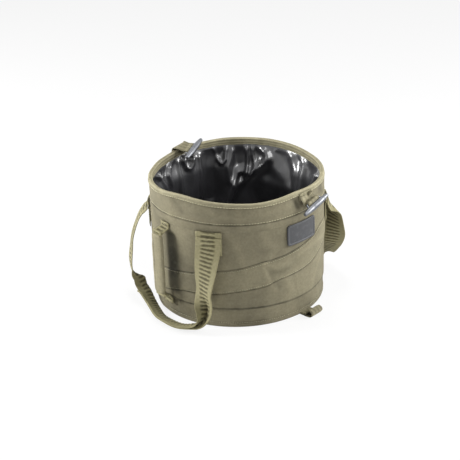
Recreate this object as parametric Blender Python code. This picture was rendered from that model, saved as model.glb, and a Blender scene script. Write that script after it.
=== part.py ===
"""A collapsible water bucket: coated cloth wall and waterproof liner on a sprung steel coil.

Metres, +Z up. The origin is the centre of the underside of the base, on the ground.
The toggle and badge side, the front, faces -Y. Angles are in degrees about +Z, counted
from the front, growing towards +X.
"""
import math

import bmesh
import bpy
from mathutils import Matrix, Vector

# Cloth and the small clearances between sewn layers
GAP = 0.0003
CLOTH = 0.0008
LINER_CLOTH = 0.0005
BINDING_CLOTH = 0.0010
TAPE_CLOTH = 0.0012
WEBBING_CLOTH = 0.0014
BASE_CLOTH = 0.0012

# Overall size and the seams of the wall
HEIGHT = 0.196
WALL_RADIUS = 0.1300
BASE_BAND_TOP = 0.031
COLLAR_HEIGHT = 0.044
COLLAR_BOTTOM = HEIGHT - COLLAR_HEIGHT
LAP = 0.002
COLLAR_SEAM = COLLAR_BOTTOM + COLLAR_HEIGHT / 4
SEAM_BEAD = 0.0002
BINDING_WIDTH = 0.014

# Nested wall panels: each slides over the next when the bucket is pressed flat
NEST = CLOTH + GAP
COLLAR_RADIUS = WALL_RADIUS - NEST
MIDDLE_RADIUS = COLLAR_RADIUS - NEST
LOWER_RADIUS = MIDDLE_RADIUS - NEST
BASE_RADIUS = LOWER_RADIUS - NEST
PANEL_BOTTOM = BASE_BAND_TOP - LAP
PANEL_HEIGHT = (COLLAR_BOTTOM + LAP - PANEL_BOTTOM + 2 * LAP) / 3

# Steel: two closed hoops and the coil that springs the bucket open
HOOP_WIRE = 0.0030
COIL_WIRE = 0.0025
BASE_HOOP_RADIUS = BASE_RADIUS - CLOTH - GAP - HOOP_WIRE / 2
RIM_HOOP_RADIUS = COLLAR_RADIUS - CLOTH - GAP - HOOP_WIRE / 2
BASE_HOOP_HEIGHT = BASE_CLOTH + GAP + HOOP_WIRE / 2
RIM_HOOP_HEIGHT = HEIGHT - BINDING_CLOTH - GAP - HOOP_WIRE / 2

# The coil's path and the sewn sleeve that shows it on the wall
COIL_HEIGHT_AT_FRONT = 0.094
COIL_RISE = 0.000375
SLEEVE_WIDTH = 0.034
SLEEVE_CLOTH = 0.0006
SLEEVE_START = -190.0
SLEEVE_END = 105.0

# Liner
LINER_EASE = 0.0005
LINER_RADIUS = BASE_HOOP_RADIUS - HOOP_WIRE / 2 - LINER_EASE
LINER_MOUTH_RADIUS = RIM_HOOP_RADIUS - HOOP_WIRE / 2 - GAP
LINER_FLARE_HEIGHT = 0.026
LINER_FLARE_END = HEIGHT - 0.020
LINER_FLARE_START = LINER_FLARE_END - LINER_FLARE_HEIGHT
LINER_TOP = RIM_HOOP_HEIGHT + 0.0008
LINER_BOTTOM = BASE_CLOTH + LINER_CLOTH + 2 * GAP

# Folds of the liner's loose film: how deep they hang, and how far they lean as they fall.
# Each row is a number of folds round the mouth, where they start, and their share of the depth.
LINER_FOLD_DEPTH = 0.0090
LINER_FOLD_LEAN = 18.0
LINER_FOLDS = ((7, 40.0, 0.22), (11, 200.0, 0.26), (17, 75.0, 0.16))

# Carry handles of ribbed webbing
HANDLE_WIDTH = 0.038
GRIP_WIDTH = 0.019
GRIP_CLOTH = 0.0032
PATCH_HEIGHT = 0.035
PATCH_TOP = COLLAR_BOTTOM
PATCH_BOTTOM = PATCH_TOP - PATCH_HEIGHT
FOLD_DROP = 0.006
FOLD_BEND = WEBBING_CLOTH / 2 + GAP
FOLD_END = PATCH_TOP - FOLD_BEND - FOLD_DROP
HANDLE_AXIS_ANGLE = -101.0
HANDLE_SPREAD = 36.0
HANDLE_HINGE_INSET = 0.010

# Padded grab handle that stands up the left wall
GRAB_ANGLE = -100.0
GRAB_GAP = 0.015
GRAB_TOP = PATCH_TOP - 0.001
GRAB_BOTTOM = 0.022
GRAB_SEAM = 0.008
GRAB_NECK = 0.007
GRAB_WEBBING_WIDTH = 0.020
GRAB_SLEEVE_WIDTH = 0.024
GRAB_SLEEVE_DEPTH = 0.008
GRAB_SLEEVE_TOP = GRAB_TOP - GRAB_SEAM - GRAB_NECK
GRAB_SLEEVE_BOTTOM = GRAB_BOTTOM + GRAB_SEAM + GRAB_NECK + 0.005

# Rubber badge, left bare
BADGE_ANGLE = -1.5
BADGE_WIDTH = 0.057
BADGE_CLEARANCE = 0.008
BADGE_TOP = COLLAR_BOTTOM - 0.001
BADGE_BOTTOM = COIL_HEIGHT_AT_FRONT + SLEEVE_WIDTH / 2 + BADGE_CLEARANCE
BADGE_CLOTH = 0.0019
BADGE_BORDER = 0.0025
BADGE_RECESS = 0.0006

# Metal toggles on their webbing straps
TOGGLE_LENGTH = 0.054
TOGGLE_DIAMETER = 0.0080
TOGGLE_TIP_DIAMETER = 0.0048
EYE_WIRE = 0.0025
STRAP_WIDTH = 0.025
EYE_PLAY = 0.0005
EYE_WIDTH = STRAP_WIDTH + 2 * EYE_PLAY + 2 * EYE_WIRE
EYE_DROP = 0.0081
STRAP_ROOT_HEIGHT = HEIGHT - 0.006
TAB_ROOT = 0.0078
TAB_LENGTH = 0.0146
TAB_OPENING = 0.0090

# Facets
TURN_STEPS = 72
WIRE_SIDES = 6
CURVE_STEPS = 3

# Finishes: sRGB colour, roughness, metallic
FINISHES = {
    "coated_cloth": ("6B6650", 0.78, 0.0),
    "sleeve_cloth": ("66614C", 0.78, 0.0),
    "webbing": ("77714F", 0.85, 0.0),
    "liner": ("15161A", 0.22, 0.0),
    "spring_steel": ("8C8F94", 0.35, 1.0),
    "toggle_metal": ("B9BBC0", 0.30, 1.0),
    "rubber": ("2E3033", 0.60, 0.0),
}


def clear_scene():
    """Start from an empty scene."""
    for thing in list(bpy.data.objects):
        bpy.data.objects.remove(thing, do_unlink=True)


def linear(channel):
    """One sRGB channel, 0 to 1, as the linear value that a shader takes."""
    return channel / 12.92 if channel <= 0.04045 else ((channel + 0.055) / 1.055) ** 2.4


def finish(name):
    """The named Principled material, made once."""
    found = bpy.data.materials.get(name)
    if found:
        return found
    hex_colour, roughness, metallic = FINISHES[name]
    colour = [linear(int(hex_colour[i:i + 2], 16) / 255) for i in (0, 2, 4)]
    made = bpy.data.materials.new(name)
    made.use_nodes = True
    shader = made.node_tree.nodes["Principled BSDF"]
    shader.inputs["Base Color"].default_value = (*colour, 1.0)
    shader.inputs["Roughness"].default_value = roughness
    shader.inputs["Metallic"].default_value = metallic
    return made


def around(angle, radius, height):
    """The point at an angle from the front, a radius and a height."""
    turn = math.radians(angle)
    return Vector((radius * math.sin(turn), -radius * math.cos(turn), height))


def tangent(angle):
    """The level direction along the wall, towards growing angle."""
    turn = math.radians(angle)
    return Vector((math.cos(turn), math.sin(turn), 0.0))


def outward(angle):
    """The level direction straight out of the wall."""
    return around(angle, 1.0, 0.0)


def blend(start, end, share):
    """A smooth step between two values."""
    share = min(max(share, 0.0), 1.0)
    return start + (end - start) * share * share * (3 - 2 * share)


def mesh_object(name, points, faces, finish_name, crease=35):
    """An object from points and faces, with its faces pointing out."""
    mesh = bpy.data.meshes.new(name)
    mesh.from_pydata([tuple(p) for p in points], [], faces)
    work = bmesh.new()
    work.from_mesh(mesh)
    bmesh.ops.recalc_face_normals(work, faces=work.faces)
    work.to_mesh(mesh)
    work.free()
    mesh.materials.append(finish(finish_name))
    mesh.shade_smooth()
    mesh.set_sharp_from_angle(angle=math.radians(crease))
    made = bpy.data.objects.new(name, mesh)
    bpy.context.scene.collection.objects.link(made)
    return made


def loft(name, sections, finish_name, closed=False, crease=35):
    """A skin over a row of equal sections, capped unless the row closes on itself."""
    size = len(sections[0])
    points = [p for section in sections for p in section]
    faces = []
    last = len(sections) if closed else len(sections) - 1
    for row in range(last):
        low, high = row * size, (row + 1) % len(sections) * size
        for k in range(size):
            after = (k + 1) % size
            faces.append((low + k, low + after, high + after, high + k))
    if not closed:
        faces.append(tuple(range(size)))
        faces.append(tuple(range(len(points) - size, len(points))))
    return mesh_object(name, points, faces, finish_name, crease)


def turned(name, profile, finish_name):
    """A profile of (radius, height) points turned right round the bucket's axis."""
    angles = [360 * k / TURN_STEPS for k in range(TURN_STEPS)]
    sections = [[around(a, r, z) for r, z in profile] for a in angles]
    return loft(name, sections, finish_name, closed=True)


def sector(name, profile, angle, width, finish_name, steps=6):
    """A profile turned through the angle that covers a width on the wall."""
    half = math.degrees(width / 2 / WALL_RADIUS)
    angles = [angle - half + 2 * half * k / steps for k in range(steps + 1)]
    sections = [[around(a, r, z) for r, z in profile] for a in angles]
    return loft(name, sections, finish_name)


def band(radius, thickness, bottom, top):
    """The profile of a plain cloth band, from its outer radius."""
    inner = radius - thickness
    return [(inner, bottom), (radius, bottom), (radius, top), (inner, top)]


def smooth_path(knots, steps=CURVE_STEPS):
    """Points along a Catmull-Rom curve through vectors of any length."""
    rows = [Vector(k) for k in knots]
    rows = [rows[0] * 2 - rows[1]] + rows + [rows[-1] * 2 - rows[-2]]
    path = []
    for k in range(1, len(rows) - 2):
        before, here, there, beyond = rows[k - 1:k + 3]
        for step in range(steps):
            t = step / steps
            path.append(0.5 * (
                2 * here + (there - before) * t
                + (2 * before - 5 * here + 4 * there - beyond) * t * t
                + (3 * here - before - 3 * there + beyond) * t ** 3
            ))
    path.append(rows[-2])
    return path


def directions(path, closed=False):
    """The unit direction of a path at each of its points."""
    count = len(path)
    found = []
    for k in range(count):
        ahead = path[(k + 1) % count] if closed else path[min(k + 1, count - 1)]
        behind = path[k - 1] if closed else path[max(k - 1, 0)]
        found.append((ahead - behind).normalized())
    return found


def wire(name, path, diameter, finish_name, closed=False, side=Vector((0, 0, 1)), sides=WIRE_SIDES):
    """Round wire along a path; side is a direction that the path never runs along."""
    sections = []
    for point, along in zip(path, directions(path, closed)):
        across = along.cross(side).normalized()
        up = across.cross(along)
        turns = [2 * math.pi * k / sides for k in range(sides)]
        sections.append([
            point + (across * math.cos(t) + up * math.sin(t)) * diameter / 2 for t in turns
        ])
    return loft(name, sections, finish_name, closed, crease=60)


def strip(name, path, across, widths, thicknesses, finish_name):
    """A flat strip along a path; across gives the direction of its width at each point."""
    sections = []
    for point, along, wide, width, thick in zip(path, directions(path), across, widths, thicknesses):
        wide = (wide - along * wide.dot(along)).normalized()
        face = along.cross(wide) * thick / 2
        edge = wide * width / 2
        sections.append([point - edge - face, point + edge - face, point + edge + face, point - edge + face])
    return loft(name, sections, finish_name)


def pivot(name, point, objects):
    """An empty on a joint's axis that carries the pieces moving with it."""
    empty = bpy.data.objects.new(name, None)
    empty.location = point
    empty.empty_display_size = 0.02
    bpy.context.scene.collection.objects.link(empty)
    for thing in objects:
        thing.data.transform(Matrix.Translation(-point))
        thing.parent = empty
    return empty


def cut(target, cutter, operation="DIFFERENCE"):
    """A live exact Boolean with a hidden cutter."""
    cutter.hide_render = True
    cutter.display_type = "WIRE"
    change = target.modifiers.new(operation.lower(), "BOOLEAN")
    change.operation = operation
    change.solver = "EXACT"
    change.object = cutter


def make_base():
    """The floor of the bucket: cloth disc, steel hoop in its seam, and the base band."""
    disc_radius = BASE_RADIUS - CLOTH - GAP
    turned_disc("base_panel", disc_radius, 0.0, BASE_CLOTH, "coated_cloth")
    hoop("base_hoop", BASE_HOOP_RADIUS, BASE_HOOP_HEIGHT)
    turned("base_band", band(BASE_RADIUS, CLOTH, GAP, BASE_BAND_TOP), "coated_cloth")
    turned_disc("liner_floor", LINER_RADIUS, BASE_CLOTH + GAP, LINER_CLOTH, "liner")


def turned_disc(name, radius, bottom, thickness, finish_name):
    """A flat round sheet."""
    angles = [360 * k / TURN_STEPS for k in range(TURN_STEPS)]
    sections = [[around(a, radius, z) for a in angles] for z in (bottom, bottom + thickness)]
    return loft(name, sections, finish_name)


def hoop(name, radius, height):
    """A closed ring of steel wire."""
    path = [around(360 * k / TURN_STEPS, radius, height) for k in range(TURN_STEPS)]
    return wire(name, path, HOOP_WIRE, "spring_steel", closed=True)


def panel_bottom(index):
    """The lower edge of a wall panel: 0 is the lowest of the three."""
    return PANEL_BOTTOM + index * (PANEL_HEIGHT - LAP)


def make_wall():
    """Three cloth panels between the base band and the collar."""
    for index, (name, radius) in enumerate((
        ("wall_panel_lower", LOWER_RADIUS),
        ("wall_panel_middle", MIDDLE_RADIUS),
        ("wall_panel_upper", WALL_RADIUS),
    )):
        bottom = panel_bottom(index)
        turned(name, band(radius, CLOTH, bottom, bottom + PANEL_HEIGHT), "coated_cloth")


def make_rim():
    """Collar with its stitched seam, the hoop, and the webbing folded over the top edge."""
    top = HEIGHT - BINDING_CLOTH - GAP
    inner = COLLAR_RADIUS - CLOTH
    seam = COLLAR_SEAM
    turned("collar", [
        (inner, COLLAR_BOTTOM), (COLLAR_RADIUS, COLLAR_BOTTOM), (COLLAR_RADIUS, seam - LAP),
        (COLLAR_RADIUS + SEAM_BEAD, seam), (COLLAR_RADIUS, seam + LAP), (COLLAR_RADIUS, top), (inner, top),
    ], "coated_cloth")
    hoop("rim_hoop", RIM_HOOP_RADIUS, RIM_HOOP_HEIGHT)
    turned("rim_binding", binding_profile(), "webbing")


def binding_profile():
    """The folded binding: an outer leg, a rounded top and an inner leg."""
    outer = COLLAR_RADIUS + GAP
    inner = LINER_MOUTH_RADIUS - LINER_CLOTH - GAP
    low, top, thick = HEIGHT - BINDING_WIDTH, HEIGHT - BINDING_CLOTH, BINDING_CLOTH
    soft = thick * 0.3
    return [
        (outer, low), (outer + thick, low), (outer + thick, top), (outer + thick - soft, top + thick - soft),
        (outer - soft, HEIGHT), (inner + soft, HEIGHT), (inner - thick + soft, top + thick - soft),
        (inner - thick, top), (inner - thick, low), (inner, low), (inner, top), (outer, top),
    ]


def liner_radius(height):
    """The liner's outer radius: straight, then flaring out to the hoop at the mouth."""
    share = (height - LINER_FLARE_START) / (LINER_FLARE_END - LINER_FLARE_START)
    return blend(LINER_RADIUS, LINER_MOUTH_RADIUS, share)


def liner_fold(angle, height):
    """How far the loose film hangs in from the liner's round form."""
    share = (height - LINER_BOTTOM) / (LINER_FLARE_END - LINER_BOTTOM)
    leaning = angle + LINER_FOLD_LEAN * (1 - share)
    waves = sum(part * math.cos(math.radians(count * leaning + start)) for count, start, part in LINER_FOLDS)
    hang = math.sin(math.pi * min(max(share, 0.0), 1.0)) ** 0.7
    return LINER_FOLD_DEPTH * hang * min(max(0.45 + waves, 0.0), 1.0)


def make_liner():
    """The waterproof wall inside, open at the top, hanging in loose folds."""
    low, high = LINER_BOTTOM, LINER_FLARE_START
    heights = [low + (high - low) * share for share in (0, 0.1, 0.25, 0.5, 0.75, 1)]
    heights += [(LINER_FLARE_START + LINER_FLARE_END) / 2, LINER_FLARE_END, LINER_TOP]
    sections = []
    for k in range(TURN_STEPS):
        angle = 360 * k / TURN_STEPS
        outer = [(liner_radius(z) - liner_fold(angle, z), z) for z in heights]
        inner = [(r - LINER_CLOTH, z) for r, z in reversed(outer)]
        sections.append([around(angle, r, z) for r, z in outer + inner])
    loft("liner_wall", sections, "liner", closed=True)


def coil_height(angle):
    """The height of the coil, and of its sleeve's middle, at an angle."""
    return COIL_HEIGHT_AT_FRONT + COIL_RISE * angle


def make_coil():
    """The sprung steel coil, from just above the base hoop to just below the rim hoop."""
    clear = HOOP_WIRE / 2 + GAP + COIL_WIRE / 2
    low = (BASE_HOOP_HEIGHT + clear - COIL_HEIGHT_AT_FRONT) / COIL_RISE
    high = (RIM_HOOP_HEIGHT - clear - COIL_HEIGHT_AT_FRONT) / COIL_RISE
    steps = round((high - low) / 360 * TURN_STEPS)
    path = []
    for k in range(steps + 1):
        angle = low + (high - low) * k / steps
        height = coil_height(angle)
        path.append(around(angle, liner_radius(height) + GAP + COIL_WIRE / 2, height))
    wire("coil_spring", path, COIL_WIRE, "spring_steel")


def wall_outside(low, high):
    """The largest outer radius of the wall's cloth between two heights."""
    layers = [(BASE_RADIUS, 0.0, BASE_BAND_TOP), (COLLAR_RADIUS, COLLAR_BOTTOM, HEIGHT)]
    for index, radius in enumerate((LOWER_RADIUS, MIDDLE_RADIUS, WALL_RADIUS)):
        bottom = panel_bottom(index)
        layers.append((radius, bottom, bottom + PANEL_HEIGHT))
    return max(radius for radius, bottom, top in layers if bottom <= high and top >= low)


def make_sleeve():
    """The raised band that is sewn over the coil and climbs round the wall."""
    floor, ceiling = BASE_BAND_TOP + GAP, COLLAR_BOTTOM + LAP - GAP
    rows = 6
    sections = []
    for k in range(round((SLEEVE_END - SLEEVE_START) / (360 / TURN_STEPS)) + 1):
        angle = SLEEVE_START + k * 360 / TURN_STEPS
        bottom = max(coil_height(angle) - SLEEVE_WIDTH / 2, floor)
        top = min(coil_height(angle) + SLEEVE_WIDTH / 2, ceiling)
        reach = (top - bottom) / rows + LAP / 4
        heights = [bottom + (top - bottom) * row / rows for row in range(rows + 1)]
        inside = [(wall_outside(z - reach, z + reach) + GAP, z) for z in heights]
        outside = [(r + SLEEVE_CLOTH, z) for r, z in reversed(inside)]
        sections.append([around(angle, r, z) for r, z in inside + outside])
    sleeve = loft("spiral_sleeve", sections, "sleeve_cloth")
    for angle in handle_patch_angles():
        cutter = sector(
            f"sleeve_notch_{round(angle) % 360}",
            band(WALL_RADIUS + 4 * TAPE_CLOTH, 5 * TAPE_CLOTH, PATCH_BOTTOM - GAP, HEIGHT),
            angle, HANDLE_WIDTH + 4 * GAP, "sleeve_cloth",
        )
        cut(sleeve, cutter)


def handle_patch_angles():
    """Where the four ends of the carry handles are sewn on."""
    middles = (HANDLE_AXIS_ANGLE, HANDLE_AXIS_ANGLE + 180)
    return [middle + side * HANDLE_SPREAD for middle in middles for side in (1, -1)]


def strip_outline(points, thickness):
    """The outline of a strip seen from its edge, from the (radius, height) points of its middle."""
    path = [Vector((r, z, 0.0)) for r, z in points]
    left, right = [], []
    for point, along in zip(path, directions(path)):
        normal = Vector((-along.y, along.x, 0.0)) * thickness / 2
        left.append((point + normal)[:2])
        right.append((point - normal)[:2])
    return left + right[::-1]


def fold_points():
    """The middle of a handle end: up the wall, over a tight fold, and down outside it."""
    inner, bend = WALL_RADIUS + GAP + WEBBING_CLOTH / 2, FOLD_BEND
    centre = inner + bend
    arc = [math.radians(180 - 180 * k / 6) for k in range(7)]
    over = [(centre + bend * math.cos(t), PATCH_TOP - bend + bend * math.sin(t)) for t in arc]
    return [(inner, PATCH_BOTTOM)] + over + [(centre + bend, FOLD_END)]


def make_handle_ends():
    """The four sewn ends of the carry handles, each folded over at its top."""
    names = (
        "left_handle_front_end", "left_handle_rear_end", "right_handle_rear_end", "right_handle_front_end",
    )
    outline = strip_outline(fold_points(), WEBBING_CLOTH)
    for name, angle in zip(names, handle_patch_angles()):
        sector(name, outline, angle, HANDLE_WIDTH, "webbing")


# The middle of each carry handle's webbing as it hangs: angle, share of the wall's radius,
# share of the height where it leaves its fold, and the direction of its width as shares
# along the wall, outward and up.
LEFT_ROUTE = (
    (-65.0, 1.031, 0.997, 1, 0, 0), (-65.0, 1.040, 0.940, 1, 0, 0), (-65.0, 1.050, 0.883, 1, 0, 0),
    (-67.0, 1.077, 0.669, 1, 0, 0), (-69.0, 1.108, 0.400, 1, 0, 0), (-70.5, 1.146, 0.200, 0.95, 0.3, 0),
    (-72.8, 1.165, 0.107, 0.62, 0.75, -0.2), (-77.5, 1.181, 0.072, 0.2, 0.9, -0.4),
    (-86.0, 1.162, 0.059, 0, 0.87, -0.5), (-96.5, 1.127, 0.059, 0, 0.87, -0.5),
    (-106.5, 1.100, 0.062, 0, 0.87, -0.5), (-115.0, 1.100, 0.083, -0.15, 0.87, -0.45),
    (-122.9, 1.154, 0.145, -0.45, 0.8, -0.35), (-127.4, 1.231, 0.207, -0.75, 0.6, -0.2),
    (-131.0, 1.277, 0.310, -0.95, 0.3, -0.05), (-133.5, 1.277, 0.462, -1, 0.05, 0),
    (-134.9, 1.254, 0.621, -1, 0, 0), (-136.0, 1.185, 0.807, -1, 0, 0), (-137.0, 1.092, 0.938, -1, 0, 0),
    (-137.0, 1.063, 0.968, -1, 0, 0), (-137.0, 1.035, 0.997, -1, 0, 0),
)
RIGHT_ROUTE = (
    (43.0, 1.035, 0.997, 1, 0, 0), (43.0, 1.044, 0.974, 1, 0, 0), (43.0, 1.054, 0.952, 1, 0, 0),
    (47.0, 1.154, 0.855, 1, 0, 0), (50.0, 1.238, 0.634, 1, 0, 0), (52.0, 1.238, 0.476, 0.97, -0.2, 0),
    (55.0, 1.192, 0.372, 0.75, -0.6, 0.15), (60.0, 1.138, 0.303, 0.4, -0.8, 0.35),
    (66.5, 1.112, 0.228, 0.15, -0.87, 0.45), (74.0, 1.108, 0.152, 0, -0.87, 0.5),
    (83.0, 1.131, 0.097, 0, -0.87, 0.5), (93.0, 1.162, 0.072, 0, -0.87, 0.5),
    (101.5, 1.181, 0.079, -0.2, -0.9, 0.4), (107.0, 1.163, 0.121, -0.62, -0.75, 0.2),
    (109.5, 1.146, 0.214, -0.95, -0.3, 0), (111.0, 1.108, 0.414, -1, 0, 0),
    (113.0, 1.077, 0.669, -1, 0, 0), (115.0, 1.050, 0.883, -1, 0, 0), (115.0, 1.040, 0.940, -1, 0, 0),
    (115.0, 1.031, 0.997, -1, 0, 0),
)
GRIP_SPAN = (0.31, 0.63)
GRIP_TAPER = 0.05


def make_carry_handle(side, route, middle, grip_span):
    """One carry handle: webbing that is folded in half and stitched to make its grip."""
    path = smooth_path([around(a, r * WALL_RADIUS, z * FOLD_END) for a, r, z, _, _, _ in route])
    hints = [tangent(a) * along + outward(a) * out + Vector((0, 0, up)) for a, _, _, along, out, up in route]
    across = smooth_path(hints)
    widths, thicknesses = [], []
    for k in range(len(path)):
        share = k / (len(path) - 1)
        folded = min(share - grip_span[0], grip_span[1] - share) / GRIP_TAPER + 0.5
        widths.append(blend(HANDLE_WIDTH, GRIP_WIDTH, folded))
        thicknesses.append(blend(WEBBING_CLOTH, GRIP_CLOTH, folded))
    webbing = strip(f"{side}_handle_webbing", path, across, widths, thicknesses, "webbing")
    hinge = around(middle, WALL_RADIUS - HANDLE_HINGE_INSET, PATCH_TOP - LAP)
    pivot(f"{side}_handle_pivot", hinge, [webbing])


def make_grab_handle():
    """The upright grab handle: webbing sewn top and bottom, in a padded cloth sleeve."""
    wall, out, thick = WALL_RADIUS + GAP + WEBBING_CLOTH / 2, WALL_RADIUS + GRAB_GAP, WEBBING_CLOTH
    bends = [(GRAB_TOP, GRAB_SLEEVE_TOP, 1), (GRAB_BOTTOM, GRAB_SLEEVE_BOTTOM, -1)]
    (upper, lower) = [
        [(wall, end), (wall, end - way * GRAB_SEAM), (wall + 3.6 * thick, mouth + way * 3.2 * thick),
         (out - 1.4 * thick, mouth + way * 1.3 * thick), (out, mouth + way * 0.6 * thick),
         (out, mouth - way * 1.4 * thick)]
        for end, mouth, way in bends
    ]
    path = [around(GRAB_ANGLE, r, z) for r, z in upper + lower[::-1]]
    count = len(path)
    strip("grab_handle_webbing", path, [tangent(GRAB_ANGLE)] * count, [GRAB_WEBBING_WIDTH] * count,
          [WEBBING_CLOTH] * count, "webbing")
    make_grab_sleeve()


def make_grab_sleeve():
    """The padded sleeve: a rounded tube with a flat slot for the webbing."""
    slot_width, slot_depth = GRAB_WEBBING_WIDTH + 2 * GAP, WEBBING_CLOTH + 2 * GAP
    outer_rings, inner_rings = [], []
    for k in range(9):
        share = k / 8
        height = GRAB_SLEEVE_BOTTOM + (GRAB_SLEEVE_TOP - GRAB_SLEEVE_BOTTOM) * share
        full = 1 - 0.12 * abs(2 * share - 1) ** 6
        outer_rings.append(grab_ring(pad_outline(GRAB_SLEEVE_WIDTH * full, GRAB_SLEEVE_DEPTH * full), height))
        inner_rings.append(grab_ring(slot_outline(slot_width, slot_depth), height))
    loft("grab_handle_sleeve", outer_rings + inner_rings[::-1], "coated_cloth", closed=True)


def pad_outline(width, depth):
    """Points round a flat oval, five on each broad face and one on each edge."""
    angles = [0] + [30 * k for k in range(1, 6)] + [180] + [180 + 30 * k for k in range(1, 6)]
    turns = [math.radians(angle) for angle in angles]
    swell = [math.copysign(abs(math.sin(t)) ** 0.6, math.sin(t)) for t in turns]
    return [(width / 2 * math.cos(t), depth / 2 * out) for t, out in zip(turns, swell)]


def slot_outline(width, depth):
    """As many points round a box, its corners among them."""
    shares = (1, 0.5, 0, -0.5, -1)
    upper = [(width / 2 * share, depth / 2) for share in shares]
    lower = [(width / 2 * share, -depth / 2) for share in shares[::-1]]
    return [(width / 2, 0.0)] + upper + [(-width / 2, 0.0)] + lower


def grab_ring(outline, height):
    """A level ring in the grab handle's place, from (along, outward) points about its middle."""
    centre = around(GRAB_ANGLE, WALL_RADIUS + GRAB_GAP, height)
    return [centre + tangent(GRAB_ANGLE) * along + outward(GRAB_ANGLE) * out for along, out in outline]


def make_badge():
    """A moulded rubber patch with a raised border round a plain face."""
    inner = WALL_RADIUS + GAP
    outer = inner + BADGE_CLOTH
    plate = band(outer, BADGE_CLOTH, BADGE_BOTTOM, BADGE_TOP)
    badge = sector("badge", plate, BADGE_ANGLE, BADGE_WIDTH, "rubber", 8)
    face = sector(
        "badge_recess",
        band(outer + 2 * BADGE_RECESS, 3 * BADGE_RECESS,
             BADGE_BOTTOM + BADGE_BORDER, BADGE_TOP - BADGE_BORDER),
        BADGE_ANGLE, BADGE_WIDTH - 2 * BADGE_BORDER, "rubber", 8,
    )
    cut(badge, face)


def make_toggle(name, centre, along, hang):
    """A cigar-shaped metal bar with a wire eye welded to its back."""
    half, thick, tip = TOGGLE_LENGTH / 2, TOGGLE_DIAMETER / 2, TOGGLE_TIP_DIAMETER / 2
    profile = [
        (-half, tip * 0.75), (-half + tip * 0.25, tip), (-half * 0.62, thick * 0.92), (-half * 0.3, thick),
        (half * 0.3, thick), (half * 0.62, thick * 0.92), (half - tip * 0.25, tip), (half, tip * 0.75),
    ]
    side = along.cross(hang)
    turns = [2 * math.pi * k / 16 for k in range(16)]
    rays = [hang * math.cos(t) + side * math.sin(t) for t in turns]
    sections = [[centre + along * x + ray * r for ray in rays] for x, r in profile]
    bar = loft(name, sections, "toggle_metal")
    reach, corner = EYE_WIDTH / 2 - EYE_WIRE / 2, EYE_WIRE
    arc = [math.radians(90 * k / 4) for k in range(5)]
    right = [(reach - corner + corner * math.sin(t), EYE_DROP - corner + corner * math.cos(t)) for t in arc]
    outline = [(-x, y) for x, y in [(reach, 0.0)] + right[::-1]] + right + [(reach, 0.0)]
    path = [centre + along * x - hang * y for x, y in outline]
    eye = wire(f"{name}_eye", path, EYE_WIRE, "toggle_metal", side=side)
    cut(bar, eye, "UNION")
    return bar


def make_toggle_strap(name, root, root_across, centre, along, hang, over):
    """Webbing from the rim that loops round the eye; over is the side it comes round from."""
    eye = centre - hang * EYE_DROP
    radius = EYE_WIRE / 2 + EYE_PLAY + TAPE_CLOTH / 2
    turns = [math.radians(90 - 240 * k / 10) for k in range(11)]
    loop = [eye + (hang * math.cos(t) + over * math.sin(t)) * radius for t in turns]
    leads = [loop[0] - hang * reach for reach in (2 * EYE_WIRE, EYE_WIRE)]
    path = smooth_path(root + leads)[:-1] + leads[1:] + loop
    first_lead = len(path) - len(loop) - 1 - CURVE_STEPS
    shares = [min(k / first_lead, 1.0) for k in range(len(path))]
    across = [root_across.lerp(along, blend(0, 1, share)) for share in shares]
    count = len(path)
    return strip(name, path, across, [STRAP_WIDTH] * count, [TAPE_CLOTH] * count, "webbing")


def make_strap_end(name, angle):
    """The sewn end of a toggle strap, on the outside of the binding."""
    inner = COLLAR_RADIUS + BINDING_CLOTH + 2 * GAP
    low, high = HEIGHT - BINDING_WIDTH + LAP, HEIGHT - LAP
    sector(name, band(inner + TAPE_CLOTH, TAPE_CLOTH, low, high), angle, STRAP_WIDTH, "webbing", 4)
    return inner + TAPE_CLOTH + GAP + TAPE_CLOTH / 2


# The toggles as they lie in use: the front one hangs, the rear one is flipped into the mouth.
# Heading is the angle of the wall that the bar lies along, and tilt lifts its far end.
FRONT_STRAP_ANGLE = 3.5
FRONT_TOGGLE_HEADING = 5.0
FRONT_TOGGLE_TILT = 12.0
FRONT_TOGGLE_LEAN = 43.0
FRONT_TOGGLE_OUT = 0.0140
FRONT_TOGGLE_DROP = 0.0220
REAR_STRAP_ANGLE = 175.6
REAR_TOGGLE_ANGLE = 169.6
REAR_TOGGLE_HEADING = 21.1
REAR_TOGGLE_TILT = 9.5
REAR_TOGGLE_IN = 0.0222
REAR_TOGGLE_RISE = 0.0010


def bar_direction(heading, tilt):
    """The direction of a toggle's bar."""
    slope = math.radians(tilt)
    return tangent(heading) * math.cos(slope) + Vector((0, 0, math.sin(slope)))


def square_to(direction, along):
    """A direction with its share along the bar taken out."""
    return (direction - along * direction.dot(along)).normalized()


def make_front_toggle():
    """The front toggle, hanging outside the rim."""
    angle, heading, lean = FRONT_STRAP_ANGLE, FRONT_TOGGLE_HEADING, math.radians(FRONT_TOGGLE_LEAN)
    root_radius = make_strap_end("front_strap_end", angle)
    centre = around(heading, WALL_RADIUS + FRONT_TOGGLE_OUT, HEIGHT - FRONT_TOGGLE_DROP)
    along = bar_direction(heading, FRONT_TOGGLE_TILT)
    hang = square_to(outward(heading) * math.sin(lean) - Vector((0, 0, math.cos(lean))), along)
    root = [
        around(angle, root_radius, STRAP_ROOT_HEIGHT),
        around(angle, root_radius, STRAP_ROOT_HEIGHT - 1.25 * TAPE_CLOTH),
        around(angle, root_radius + 1.8 * TAPE_CLOTH, STRAP_ROOT_HEIGHT - 3.3 * TAPE_CLOTH),
    ]
    strap = make_toggle_strap(
        "front_toggle_strap", root, tangent(angle), centre, along, hang, along.cross(hang))
    toggle = make_toggle("front_toggle", centre, along, hang)
    pivot("front_strap_pivot", root[0], [strap])
    pivot("front_toggle_pivot", centre - hang * EYE_DROP, [toggle])


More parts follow.
